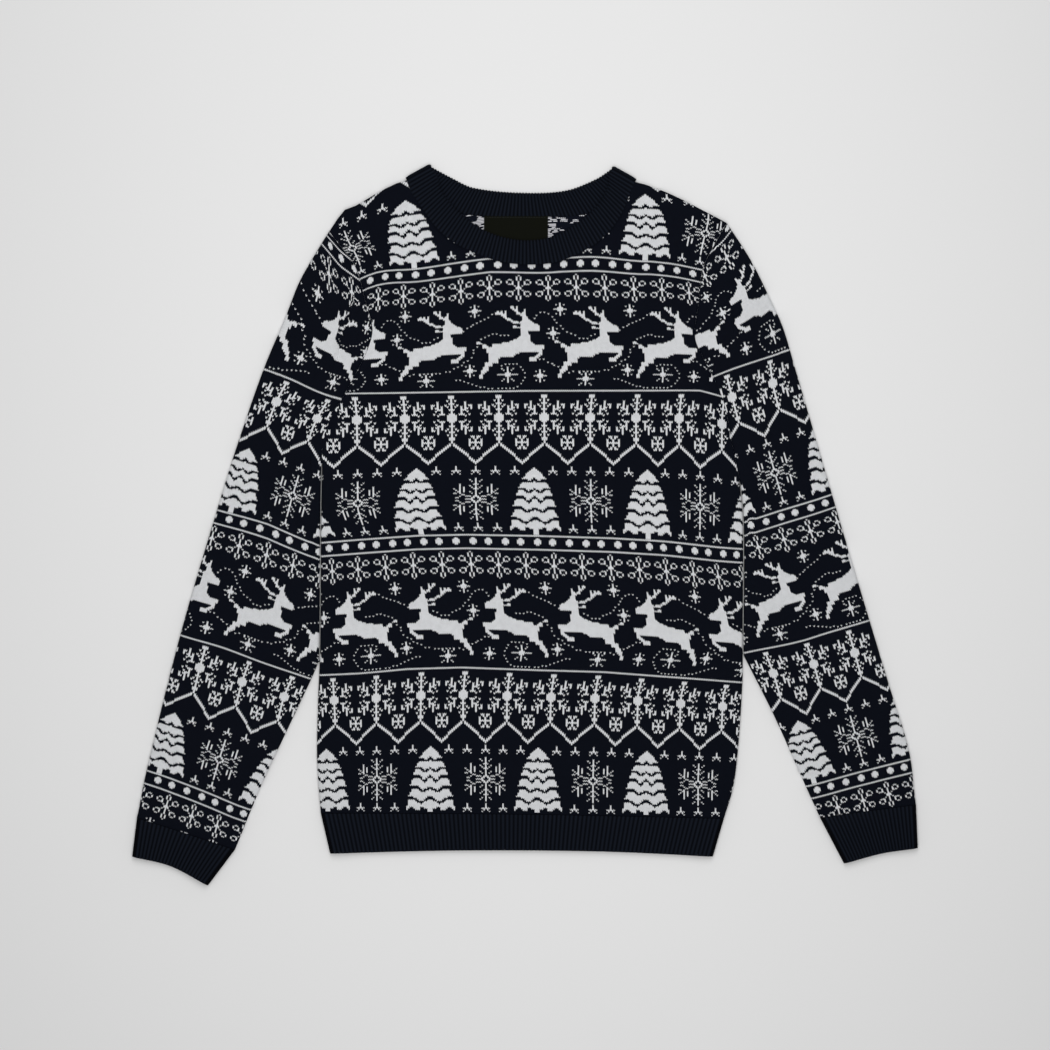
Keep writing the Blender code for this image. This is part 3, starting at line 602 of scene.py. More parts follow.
def tubeRing(path, edges, folds, wall, shift, atSeam, seams):
    total = walked(path)[-1]
    far, near = edges
    if shift:
        start = np.concatenate([nearFold(), [sleeve["besideFold"]]])
        end = total - start[::-1]
    else:
        start = edgeStations(path, far, total)
        end = total - edgeStations(path[::-1], near, total)[::-1]
    outers, inners = [], []
    for upper in (True, False):
        mids = sleeve["upperMids"] if upper else sleeve["lowerMids"]
        stations = np.concatenate([start, np.linspace(start[-1], end[0], mids + 2)[1:-1], end])
        points = along(path, stations)
        points = points + leftOf(points) * shift
        distance, away = nearest(points, edges)
        if atSeam:
            away = alongRing(points, stations < total / 2)
        if shift:
            distance = np.minimum(stations, total - stations)
        outer, inner = wallPoints(points, distance, away, folds, upper, wall, False, seams)
        picks = slice(None, None, -1) if upper else slice(1, -1)
        outers.append(outer[picks])
        inners.append(inner[picks])
    return np.vstack(outers), np.vstack(inners)


def makeSleeve(name, side, node, materials):
    armhole, far, near, towards = sleeveEdges(side)
    plan = finePlan(coarsePlan(armhole, far, near, towards), far, near)
    edges = (far[::4], near[::-4]) if side == "left" else (far[::-4], near[::4])
    cuffSeam = np.array([far[-1], near[-1]])
    seams = [armhole[::2], cuffSeam]
    outerRows, innerRows = [], []
    last = len(plan) - 1
    for i, ring in enumerate(plan):
        shift = 0.0 if i else towards * cloth["seamGap"] / 2
        path = ring if i else armhole
        outer, inner = tubeRing(path, edges, sleeveFolds[side], cloth["wall"], shift, i in (0, last), seams)
        outerRows.append(outer)
        innerRows.append(inner)
    outer, inner = np.stack(outerRows), np.stack(innerRows)
    upperCount = sleeve["upperMids"] + 2 * (len(panel["foldAngles"]) + 1)
    uv = pinned(outer[..., :2], side, lambda points: sleeveUv(points, side))
    uv[..., 1] += repeat["sleevesFrom"] * repeat["rows"]      # odd: the sleeves' deer face the other way
    wide = np.concatenate([uv, uv[:, :1]], axis=1)
    edge = wide[:, upperCount - 1:upperCount, 0]
    wide[:, upperCount:, 0] = 2 * edge - wide[:, upperCount:, 0]
    piece = closedWall(name, outer, inner, wide, True, materials)
    takePlaceOf(piece, node)


# Ribbed pieces
rib = {
    "hemRibs": 92,
    "cuffRibs": 22,
    "bandPitch": 4.0,
    "pointsEach": 6,
    "rows": 16,
    "hemDepth": 38,
    "hemSpans": 48,
    "cuffDepth": 40,
    "cuffSpans": 12,
    "cuffUnder": 40,        # points across the plain underside
    "fullness": 0.7,
}


def ribRise(phase):
    return (0.5 - 0.5 * np.cos(2 * math.pi * phase))**rib["fullness"]


def ribGrip(t):
    # ribs are shallow at the seam and a little flatter at the open end
    return 0.25 + 0.75 * smoothStep(t / 0.3) - 0.12 * smoothStep((t - 0.8) / 0.2)


def makeHem(name, node, upper, material):
    seam, end = smoothPath(outline["hemSeam"]), smoothPath(outline["hemEnd"])
    sides = [np.array([seam[0], end[0]]), np.array([end[-1], seam[-1]])]
    outerRows, innerRows, uvRows = [], [], []
    steps = rib["hemRibs"] * rib["pointsEach"]
    first, last = evenly(seam, rib["hemSpans"]), evenly(end, rib["hemSpans"])
    start = nearFold()
    for t in np.linspace(0, 1, rib["rows"] + 1):
        path = first + (last - first) * t - np.array([0, cloth["seamGap"] / 2 * (1 - t)])
        span = walked(path)[-1]
        flat = span - 2 * cloth["foldRadius"]
        stations = np.concatenate([start, cloth["foldRadius"] + flat * np.arange(1, steps) / steps,
                                   span - start[::-1]])
        points = along(path, stations)
        distance = np.minimum(stations, span - stations)
        away = nearest(points, sides)[1]
        outer, inner = wallPoints(points, distance, away, [], upper, cloth["ribWall"], True)
        phase = np.clip((stations - cloth["foldRadius"]) / flat, 0, 1) * rib["hemRibs"]
        if upper:
            outer[:, 2] += cloth["ribHeight"] * ribGrip(t) * ribRise(phase)
        outerRows.append(outer)
        innerRows.append(inner)
        uvRows.append(np.stack([phase, np.full_like(phase, t * rib["hemDepth"] / rowPitch)], axis=1))
    outer, inner, uv = np.stack(outerRows), np.stack(innerRows), np.stack(uvRows)
    piece = closedWall(name, outer, inner, uv, False, [material])
    takePlaceOf(piece, node)


def makeCuff(name, side, node, material):
    sideName = side.capitalize()
    far = np.array(outline["outer" + sideName][-1], float)
    near = np.array(outline["inner" + sideName][-1], float)
    end = smoothPath(outline["cuffEnd" + sideName])
    farSide, nearSide = np.array([far, end[0]]), np.array([near, end[-1]])
    edges = (farSide, nearSide[::-1]) if side == "left" else (farSide[::-1], nearSide)
    down = end[len(end) // 2] - (far + near) / 2
    down = down / np.linalg.norm(down)
    outerRows, innerRows, uvRows = [], [], []
    ribs, each = rib["cuffRibs"], rib["pointsEach"]
    first, last = evenly(np.array([far, near]), rib["cuffSpans"]), evenly(end, rib["cuffSpans"])
    for t in np.linspace(0, 1, rib["rows"] + 1):
        path = first + (last - first) * t + down * cloth["seamGap"] * (1 - t)
        total = walked(path)[-1]
        start = edgeStations(path, edges[0], total)[:-1]
        finish = total - edgeStations(path[::-1], edges[1], total)[:-1][::-1]
        outers, inners, phases = [], [], []
        for upper in (True, False):
            steps = ribs * each if upper else rib["cuffUnder"]
            middle = np.linspace(start[-1], finish[0], steps + 1)[1:-1]
            stations = np.concatenate([start, middle, finish])
            points = along(path, stations)
            distance = nearest(points, edges)[0]
            away = alongRing(points, stations < total / 2)
            outer, inner = wallPoints(points, distance, away, [], upper, cloth["ribWall"], False)
            phase = np.clip((stations - start[-1]) / (finish[0] - start[-1]), 0, 1) * ribs
            if upper:
                outer[:, 2] += cloth["ribHeight"] * ribGrip(t) * ribRise(phase)
            picks = slice(None, None, -1) if upper else slice(1, -1)
            outers.append(outer[picks])
            inners.append(inner[picks])
            phases.append(phase[picks] if upper else -phase[picks])
        outerRows.append(np.vstack(outers))
        innerRows.append(np.vstack(inners))
        phase = np.concatenate(phases + [[-ribs]])
        uvRows.append(np.stack([phase, np.full_like(phase, t * rib["cuffDepth"] / rowPitch)], axis=1))
    outer, inner, uv = np.stack(outerRows), np.stack(innerRows), np.stack(uvRows)
    piece = closedWall(name, outer, inner, uv, True, [material])
    takePlaceOf(piece, node)


# Neckband
band = {
    "half": 1.4,            # half its thickness between the ribs
    "low": 1.4,             # height of its middle at the back
    "high": 5.1,            # and at the front
    "gap": -1.1,            # over the panels' edge
    "tooth": 0.9,           # how far a rib stands out at the free edge
    "across": 14,
    "turnSteps": 12,
    "seamPoints": 216,
    "smoothAngle": 60,
    "depth": 22,            # from seam to free edge, for the rows of stitches
    "flatShare": 0.9,       # of its width, before the free edge rounds over
    "backShare": 0.84,
    "edgeAngles": (30, 60, 90, 120, 150),
}


def bandHalf(seamTable, edgeTable, height):
    seam = evenly(smoothPath(outline[seamTable]), band["seamPoints"])
    seam = seam + leftOf(seam) * band["gap"]
    edge = smoothPath(outline[edgeTable])
    ribs = round(walked(seam)[-1] / rib["bandPitch"])
    count = ribs * rib["pointsEach"]
    lift = np.full((count + 1, 1), height)
    return np.hstack([evenly(seam, count), lift]), np.hstack([evenly(edge, count), lift]), ribs


def bandTurn(before, after, rising):
    radius = (band["high"] - band["low"]) / 2
    middle = (band["high"] + band["low"]) / 2
    line = (before[1] - before[0])[:2]
    outward = np.array([-line[1], line[0]]) / np.linalg.norm(line)
    outward = outward if outward[1] > 0 else -outward
    seam, edge = [], []
    for step in range(1, band["turnSteps"]):
        t = step / band["turnSteps"]
        angle = math.radians((t - 0.5) * 180 * (1 if rising else -1))
        push = outward * radius * math.cos(angle)
        for store, a, b in ((seam, before[0], after[0]), (edge, before[1], after[1])):
            place = a + (b - a) * t
            store.append([place[0] + push[0], place[1] + push[1], middle + radius * math.sin(angle)])
    return np.array(seam), np.array(edge)


def makeNeckband(name, node, material):
    frontSeam, frontEdge, frontRibs = bandHalf("neckFront", "bandEdgeFront", band["high"])
    backSeam, backEdge, backRibs = bandHalf("neckBack", "bandEdgeBack", band["low"])
    backSeam, backEdge = backSeam[::-1], backEdge[::-1]
    rightSeam, rightEdge = bandTurn((frontSeam[-1], frontEdge[-1]), (backSeam[0], backEdge[0]), False)
    leftSeam, leftEdge = bandTurn((backSeam[-1], backEdge[-1]), (frontSeam[0], frontEdge[0]), True)
    seam = np.vstack([frontSeam, rightSeam, backSeam, leftSeam])
    edge = np.vstack([frontEdge, rightEdge, backEdge, leftEdge])
    turning = np.arange(1, band["turnSteps"]) / band["turnSteps"]       # one rib round each turn
    phase = np.concatenate([np.linspace(0, frontRibs, len(frontSeam)), frontRibs + turning,
                            frontRibs + 1 + np.linspace(0, backRibs, len(backSeam)),
                            frontRibs + 1 + backRibs + turning])
    onBack = np.zeros(len(seam))
    begin = len(frontSeam) + len(rightSeam)
    onBack[begin:begin + len(backSeam)] = 1
    across = edge - seam
    across = across / np.linalg.norm(across, axis=1)[:, None]
    ahead = np.roll(seam, -1, axis=0) - np.roll(seam, 1, axis=0)
    run = ahead + np.roll(edge, -1, axis=0) - np.roll(edge, 1, axis=0)
    normal = -np.cross(across, run)
    normal = normal / np.linalg.norm(normal, axis=1)[:, None]
    rise = cloth["ribHeight"] * ribRise(phase)
    out = band["half"] + rise * (1 - onBack)
    within = band["half"] + rise * onBack
    rows, uvRows = [], []
    bands = band["across"]
    flat = band["flatShare"]
    shares = [(i / bands * flat, 1) for i in range(bands + 1)]
    shares += [(flat + (1 - flat) * math.sin(a), math.cos(a)) for a in np.radians(band["edgeAngles"])]
    shares += [(flat - i / bands * band["backShare"], -1) for i in range(bands + 1)]
    for share, level in shares:
        ease = smoothStep(share / 0.2) * 0.75 + 0.25
        outHere = band["half"] + (out - band["half"]) * ease
        withinHere = band["half"] + (within - band["half"]) * ease
        height = outHere * level if level > 0 else withinHere * level
        tooth = band["tooth"] * smoothStep((share - 0.8) / 0.2) * (ribRise(phase) - 0.5)
        rows.append(seam + (edge - seam) * share + normal * np.asarray(height)[:, None]
                    + across * tooth[:, None])
        uvRows.append(np.stack([phase, np.full_like(phase, share * band["depth"] / rowPitch)], axis=1))
    grid = np.stack(rows, axis=0)
    uv = np.stack(uvRows, axis=0)
    uv = np.concatenate([uv, uv[:, :1] + np.array([phase[-1] + 1 / rib["pointsEach"], 0])], axis=1)
    grid = np.concatenate([grid, grid[:1]], axis=0)
    uv = np.concatenate([uv, uv[:1]], axis=0)
    rowCount, columnCount = grid.shape[:2]
    faces, index = gridFaces(rowCount, columnCount, 0, True)
    uvs = uv.reshape(-1, 2)[index]
    faces = faces % ((rowCount - 1) * columnCount)
    vertices = grid[:-1].reshape(-1, 3)
    piece = makeMesh(name, vertices, faces, uvs, np.zeros(len(faces)), [material], band["smoothAngle"])
    takePlaceOf(piece, node)


# Charts of the knitted bands. One character is one stitch and "#" is off-white. A quarter starts at the
# motif's middle and is mirrored both ways, a half is mirrored from its first column. A tall quarter has
# two middle rows, a wide one two middle stitches.
motifs = {
    "snowflake": ("tall", ["###", "###....#", "##..###..#", "#....#", "#....#..#", "##...###",
                              "#....#.##.#", "#.#..#.#..#", "#..#...#.##", "##.....#", "#......#",
                              "#.#", "#", "##", "##"]),
    "miniFlake": ("quarter", ["####", "#..#", "#..#", ".#", ".##"]),
    "wideFlake": ("quarter", ["..####", ".##......##", "##.###..#", "#.....##", "#.#.....#.##",
                              "#..#..#.##", "#.....#.#.#", "##....#.#..#", "#.#...#.#", "#..#....#",
                              "##......#", "#", "#.#", "#..#", "#"]),
    "spark": ("half", ["#", "#", "#", "###", ".#", "..#"]),
    "bead": ("wide", ["##", "##", "#"]),
    "star": ("quarter", ["####", "##", "#", "#.#", "#"]),
    "longStar": ("quarter", ["#####", "##", "#", "#.#", "#..#"]),
    "wideStar": ("quarter", ["######", "##", "#", "#.#", "#..#", "#"]),
    "scroll": ("tall", ["##", "#.#", "#..###", "#..#..#", "#..#..#", ".#..##", ".#", ".#", "#"]),
}

# Rows of one repeat, counted down from the line over the snowflakes.
repeat = {
    "rows": 184,
    "sleevesFrom": 5,
    "hemRows": (277.5, 400.0),      # plain from here down, over the body's hem
    "lines": (0, 96, 105),
    "snowflakeRow": 17,
    "snowflakeStitches": 24,
    "snowflakeRows": 64,
    "miniRow": 34,
    "zigzagTop": 33.4,
    "zigzagSlope": 1.13,
    "lowerFrom": 48,            # first row of the second layer of charts
    "lowerSize": (160, 80),     # its rows and stitches
    "treeTop": 51,
    "sparkTops": {50: (-20, -10, 0, 10, 20), 88: (-10, 0, 10)},
    "wideRow": 72,
    "beadRow": 100,
    "beadStitches": (4, 13, 21, 30, 38, 47, 56),
    "scrollRow": 115,
    "scrollStitch": 9,
    "deerFoot": 184,
    # stitches in one repeat of each band, from its first row on
    "periods": [(48, 60), (106, 15), (126, 80)],
    "turnedAbout": 154,         # a band of deer facing the other way is mirrored about half of this
}

fir = {
    # columns first row, last row, half width at the first, at the last
    "tiers": [(0, 7, 0.4, 5.9), (8, 13, 4.7, 8.0), (14, 19, 8.0, 9.2), (20, 26, 8.9, 11.2),
              (27, 33, 9.0, 12.3), (34, 41, 11.4, 13.3)],
    # dark waves between the tiers: points stitches from the middle, row
    "waves": [[(0, 7.4), (1.2, 8.8), (2.6, 9.4), (4.4, 8.3), (6, 8.1)],
              [(0, 14.1), (0.8, 14.8), (2, 15.8), (3.3, 15.9), (4.5, 14.8), (5.5, 14.2), (8.5, 13.9)],
              [(0, 19.6), (1, 20), (1.8, 21.6), (3.3, 22.6), (4.3, 21.6), (5.2, 20.2), (6, 19.3),
               (9.5, 19.2)],
              [(0, 27), (1.5, 27.4), (2.5, 28.6), (4, 29), (5.3, 28.6), (6, 27.6), (7, 26.5), (11.5, 26.3)],
              [(0, 33.6), (1.2, 33.8), (2.5, 34.7), (3.5, 35.6), (5, 36.3), (6.5, 35.8), (7.7, 34.5),
               (9, 33.9), (12.5, 33.4)]],
    "waveHalf": 0.8,
    "foot": [(2, 41), (3, 41.2), (4.2, 39.4), (5.4, 41), (6.2, 41.7), (8.2, 41.7), (9.4, 41), (10.6, 39.5),
             (11.6, 40.8), (12.8, 42), (14, 42)],
    "trunkRows": (38, 45),
    "size": (50, 60),           # rows and stitches it is drawn on
}

# Columns stitch, rows above the line under the band.
deer = {
    "body": [(53.9, 43.6), (55, 42.8), (55, 41.4), (53.9, 39.6), (48.6, 39.3), (48.7, 37.2),
             (49.6, 37), (49.6, 33.1), (50.6, 32.6), (51.1, 30.8), (53.2, 30), (56.4, 30),
             (56.5, 27.8), (55.7, 27.2), (55.4, 23.9), (54.5, 23.6), (53.5, 21.8), (52.5, 20.8),
             (52, 19.6), (48, 19.6), (48.1, 22.2), (50.7, 22.2), (52.1, 23.6), (53.1, 24.6),
             (53.1, 25.9), (49, 26), (48.8, 25.3), (43.6, 25.3), (43.3, 24.2), (40.2, 23.9),
             (40, 22.7), (33.8, 22.8), (32.3, 20.6), (32, 18.8), (29.4, 18.4), (29.1, 16.6),
             (27.8, 16.4), (27.6, 14.5), (26.4, 12.7), (24.7, 11.2), (24.4, 8.6), (22, 8.6),
             (22.1, 11.3), (23.3, 11.5), (23.3, 14.3), (24.4, 14.5), (24.5, 16), (25.4, 17.2),
             (26, 19), (27.2, 19.6), (27.8, 21.1), (27.8, 23.3), (26.8, 25.7), (26.8, 27.6),
             (24.6, 29.3), (24.1, 31), (21.2, 31.4), (21.2, 33.1), (23.9, 33.2), (24.7, 31.6),
             (26.5, 31.6), (27.2, 30), (29.1, 29.2), (29.5, 31.2), (34.3, 31.3), (34.9, 32.6),
             (38.8, 32.7), (39, 33.5), (40.5, 33.6), (40.9, 34.6), (42.7, 34.6), (43.2, 36.8),
             (44.1, 37), (44, 44.6), (44.2, 46.4), (45.9, 46.6), (45.9, 50.5), (46.1, 54.2),
             (47.2, 54.2), (47.3, 50.4), (48.5, 49.2), (49.3, 47), (50.8, 46), (51.1, 45),
             (52.7, 44.8)],
    "lines": [[(46, 50), (43.8, 51.5), (41.7, 54.1), (40.2, 56)], [(43.4, 54), (43.4, 56.2)],
              [(45, 45.3), (41.8, 45.6), (40, 46.6), (38, 48), (36.2, 50), (34.8, 51.5), (31.8, 51.6)],
              [(34.8, 51.6), (34.8, 53.4)], [(32.8, 51.6), (32.8, 53.2)],
              [(36.2, 50), (37.1, 51.8), (37.1, 53.3)], [(41.2, 42.8), (44, 42.2)]],
    "every": 40,
    "stars": {(25, 54): "star", (61, 54): "star", (21, 38): "star", (58, 14): "star", (14, 10): "star",
              (36, 8): "longStar", (77, 11): "wideStar"},
    "trails": [
        [(55, 41), (57.2, 43), (59.2, 44.2), (63.4, 46.4), (67.5, 49.1), (70, 50.6)],
        [(11.5, 48.5), (13.8, 51), (16, 52.3), (18, 52.2), (19.8, 50.8), (21.6, 48.2), (22.6, 45.5),
         (25, 42.8), (27, 40.2), (29, 39), (31, 37.6), (33.2, 35.3), (37.4, 34.9), (39.4, 36.6),
         (41.8, 38.4)],
        [(78.4, 36.9), (74.1, 37), (72, 38.3), (69.7, 38.3), (65.5, 35.6), (63.3, 34.4), (61.2, 29.8),
         (60, 26.8), (58.4, 22.4), (56.5, 20.9), (54.2, 18.2), (52, 16.8), (47.8, 14.5), (43.6, 13.1),
         (35, 12.8), (28.2, 12.5)],
        [(13.7, 20.6), (15.9, 20.6), (18, 19.2), (20.2, 17.8), (23.2, 15.8)],
        [(51.2, 8.3), (53.3, 8.2), (57.6, 5.4), (61, 3.6), (63.1, 3.5), (65.3, 2.5), (71.8, 2.2),
         (78.6, 1.7), (80.7, 2), (82.8, 2.9), (85, 8), (86, 10.5), (86, 13.4), (84.8, 15.8), (82.8, 17.1),
         (80.7, 18.4), (76.1, 18.5), (74, 17.2)]],
    "trailGap": 4.1,            # millimetres from one spot of a trail to the next
    "cell": (1.9, 1.5),         # and in a stitch and a row
}


def mark(chart, stitch, row, period):
    if 0 <= row < len(chart):
        chart[row, stitch % period] = True


def stamp(chart, name, stitch, row, period):
    kind, lines = motifs[name]
    for down, line in enumerate(lines):
        for across, sign in enumerate(line):
            if sign == "#":
                left, right = stitch - across, stitch + across + (kind == "wide")
                for place in (left, right):
                    mark(chart, place, row + down + (kind == "tall"), period)
                    if kind != "half":
                        mark(chart, place, row - down, period)


def stroke(chart, points, period):
    for (x0, y0), (x1, y1) in zip(points, points[1:]):
        steps = int(4 * max(abs(x1 - x0), abs(y1 - y0))) + 1
        for i in range(steps + 1):
            x, y = x0 + (x1 - x0) * i / steps, y0 + (y1 - y0) * i / steps
            mark(chart, round(x), round(y), period)
            mark(chart, round(x), round(y + 0.5), period)


def fillIn(chart, edge, period):
    across, down = [p[0] for p in edge], [p[1] for p in edge]
    for row in range(math.floor(min(down)), math.ceil(max(down)) + 1):
        for stitch in range(math.floor(min(across)), math.ceil(max(across)) + 1):
            inside = False
            for (x0, y0), (x1, y1) in zip(edge, edge[1:] + edge[:1]):
                if (y0 > row) != (y1 > row) and stitch < x0 + (row - y0) * (x1 - x0) / (y1 - y0):
                    inside = not inside
            if inside:
                mark(chart, stitch, row, period)


def trail(chart, points, period):
    path = np.array(points, float)
    run = walked(path * deer["cell"])
    for distance in np.linspace(0, run[-1], round(run[-1] / deer["trailGap"]) + 1):
        x, y = (np.interp(distance, run, path[:, k]) for k in (0, 1))
        mark(chart, round(x), round(y), period)


def snowflakeChart():
    period = repeat["snowflakeStitches"]
    half = period // 2
    chart = np.zeros((repeat["snowflakeRows"], period), bool)
    stamp(chart, "snowflake", 0, repeat["snowflakeRow"], period)
    stamp(chart, "miniFlake", half, repeat["miniRow"], period)
    for stitch in range(-half, half + 1):
        top = round(repeat["zigzagTop"] + repeat["zigzagSlope"] * abs(stitch))
        for row in (top, top + 1):
            mark(chart, stitch, row, period)
    mark(chart, 0, round(repeat["zigzagTop"]) - 1, period)
    return chart


def drawFir(chart, middle, top, period):
    drawn = np.zeros(fir["size"], bool)
    stem = fir["size"][1] // 2
    for first, last, start, end in fir["tiers"]:
        for row in range(first, last + 1):
            half = int(start + (end - start) * (row - first) / (last - first) + 0.5)
            drawn[row, stem - half:stem + half + 1] = True
    for points in fir["waves"]:
        steps, rows = zip(*points)
        for stitch in range(int(steps[-1] + 0.5) + 1):
            middleRow = float(np.interp(stitch, steps, rows))
            first = math.ceil(middleRow - fir["waveHalf"])
            last = math.floor(middleRow + fir["waveHalf"])
            drawn[first:last + 1, [stem - stitch, stem + stitch]] = False
    steps, rows = zip(*fir["foot"])
    for stitch in range(steps[0], steps[-1] + 1):
        drawn[round(float(np.interp(stitch, steps, rows))):, [stem - stitch, stem + stitch]] = False
    first, last = fir["trunkRows"]
    drawn[first:last, stem - 1:stem + 2] = True
    for row, stitch in np.argwhere(drawn):
        mark(chart, middle + int(stitch) - stem, top + int(row), period)


def lowerChart():
    first = repeat["lowerFrom"]
    chart = np.zeros(repeat["lowerSize"], bool)
    trees, scrolls, deerPeriod = (period for firstRow, period in repeat["periods"])
    drawFir(chart, trees // 2, repeat["treeTop"] - first, trees)
    stamp(chart, "wideFlake", 0, repeat["wideRow"] - first, trees)
    for row, stitches in repeat["sparkTops"].items():
        for stitch in stitches:
            stamp(chart, "spark", stitch, row - first, trees)
    for stitch in repeat["beadStitches"]:
        stamp(chart, "bead", stitch, repeat["beadRow"] - first, trees)
    stamp(chart, "scroll", repeat["scrollStitch"], repeat["scrollRow"] - first, scrolls)
    foot = repeat["deerFoot"] - first

    def above(points, shift=0):
        return [(x + shift, foot - y) for x, y in points]

    for shift in range(0, deerPeriod, deer["every"]):
        fillIn(chart, above(deer["body"], shift), deerPeriod)
        for line in deer["lines"]:
            stroke(chart, above(line, shift), deerPeriod)
    for (stitch, row), name in deer["stars"].items():
        stamp(chart, name, stitch, foot - row, deerPeriod)
    for points in deer["trails"]:
        trail(chart, above(points), deerPeriod)
    return chart


# Shader helpers
def feed(tree, socket, value):
    if isinstance(value, (int, float)):
        socket.default_value = value
    elif isinstance(value, tuple):
        socket.default_value = (*value, 1.0)
    else:
        tree.links.new(value, socket)


def calc(tree, operation, *values):
    node = tree.nodes.new("ShaderNodeMath")
    node.operation = operation
    for socket, value in zip(node.inputs, values):
        feed(tree, socket, value)
    return node.outputs[0]


def nearestWhole(tree, value):
    return calc(tree, "FLOOR", calc(tree, "ADD", value, 0.5))


def repeatsIn(tree, value, size):
    # how many whole repeats lie before a stitch or row
    return calc(tree, "FLOOR", calc(tree, "DIVIDE", calc(tree, "ADD", value, 0.5), size))


def isNumber(tree, value, number):
    return calc(tree, "COMPARE", value, number, 0.1)


def fromRow(tree, row, first):
    return calc(tree, "GREATER_THAN", row, first - 0.5)


def fromMiddle(tree, share):
    # 1 at either end of a stitch or row, 0 in its middle
    return calc(tree, "ABSOLUTE", calc(tree, "MULTIPLY_ADD", share, 2.0, -1.0))


def partsOf(tree, place):
    node = tree.nodes.new("ShaderNodeSeparateXYZ")
    tree.links.new(place, node.inputs[0])
    return node.outputs[0], node.outputs[1]


def blendColours(tree, share, a, b, kind="MIX"):
    node = tree.nodes.new("ShaderNodeMix")
    node.data_type = "RGBA"
    node.blend_type = kind
    for number, value in ((0, share), (6, a), (7, b)):
        feed(tree, node.inputs[number], value)
    return node.outputs[2]


def newGroup(name, inputs, outputs):
    group = bpy.data.node_groups.new(name, "ShaderNodeTree")
    for title in inputs:
        kind = "NodeSocketVector" if title == "Place" else "NodeSocketFloat"
        group.interface.new_socket(title, in_out="INPUT", socket_type=kind)
    for title in outputs:
        group.interface.new_socket(title, in_out="OUTPUT", socket_type="NodeSocketFloat")
    return group, group.nodes.new("NodeGroupInput").outputs, group.nodes.new("NodeGroupOutput").inputs


def useGroup(tree, group, **values):
    node = tree.nodes.new("ShaderNodeGroup")
    node.node_tree = group
    for title, value in values.items():
        feed(tree, node.inputs[title], value)
    return node.outputs


# A chart is kept in colour ramps: a stop for each of 32 rows, 20 stitches in each of its four channels.
reader = {"rows": 32, "bits": 20}


def chartReader(name, chart):
    group, given, result = newGroup(name, ["Stitch", "Row"], ["Mask"])
    bits, rows = reader["bits"], reader["rows"]
    wide = np.zeros((len(chart), 4 * bits), bool)
    wide[:, :chart.shape[1]] = chart
    weights = 2.0 ** np.arange(bits)
    words = ((wide.reshape(len(chart), 4, bits) * weights).sum(2) + 0.5) / 2.0**bits
    block = calc(group, "FLOOR", calc(group, "DIVIDE", given["Row"], rows))
    rowIn = calc(group, "FLOORED_MODULO", given["Row"], rows)
    place = calc(group, "DIVIDE", calc(group, "ADD", rowIn, 0.5), rows)
    colour, alpha = None, None
    for number in range(len(chart) // rows):
        ramp = group.nodes.new("ShaderNodeValToRGB")
        stops = ramp.color_ramp
        stops.interpolation = "CONSTANT"
        for row in range(rows):
            if row > 1:
                stops.elements.new(row / rows)
            stop = stops.elements[row]
            stop.position = row / rows
            stop.color = words[number * rows + row]
        group.links.new(place, ramp.inputs[0])
        if colour is None:
            colour, alpha = ramp.outputs[0], ramp.outputs[1]
            continue
        here = isNumber(group, block, number)
        colour = blendColours(group, here, colour, ramp.outputs[0])
        step = calc(group, "SUBTRACT", ramp.outputs[1], alpha)
        alpha = calc(group, "MULTIPLY_ADD", step, here, alpha)
    parts = group.nodes.new("ShaderNodeSeparateColor")
    group.links.new(colour, parts.inputs[0])
    channel = repeatsIn(group, given["Stitch"], bits)
    word = None
    for number, part in enumerate([*parts.outputs, alpha]):
        one = calc(group, "MULTIPLY", part, isNumber(group, channel, number))
        word = one if word is None else calc(group, "ADD", word, one)
    bit = calc(group, "SUBTRACT", given["Stitch"], calc(group, "MULTIPLY", channel, bits))
    lifted = calc(group, "MULTIPLY", word, calc(group, "POWER", 2.0, calc(group, "SUBTRACT", bits, bit)))
    odd = calc(group, "FLOORED_MODULO", calc(group, "FLOOR", lifted), 2.0)
    group.links.new(calc(group, "GREATER_THAN", odd, 0.5), result["Mask"])
    return group


# "thin" is how far apart the denser bands are read, in stitches and rows
stitchShape = {"bow": 1.0, "lineHalf": 0.4, "thin": (0.12, 0.22), "roundness": 0.6, "gapSharpness": 4.0,
               "gapDepth": 0.75}


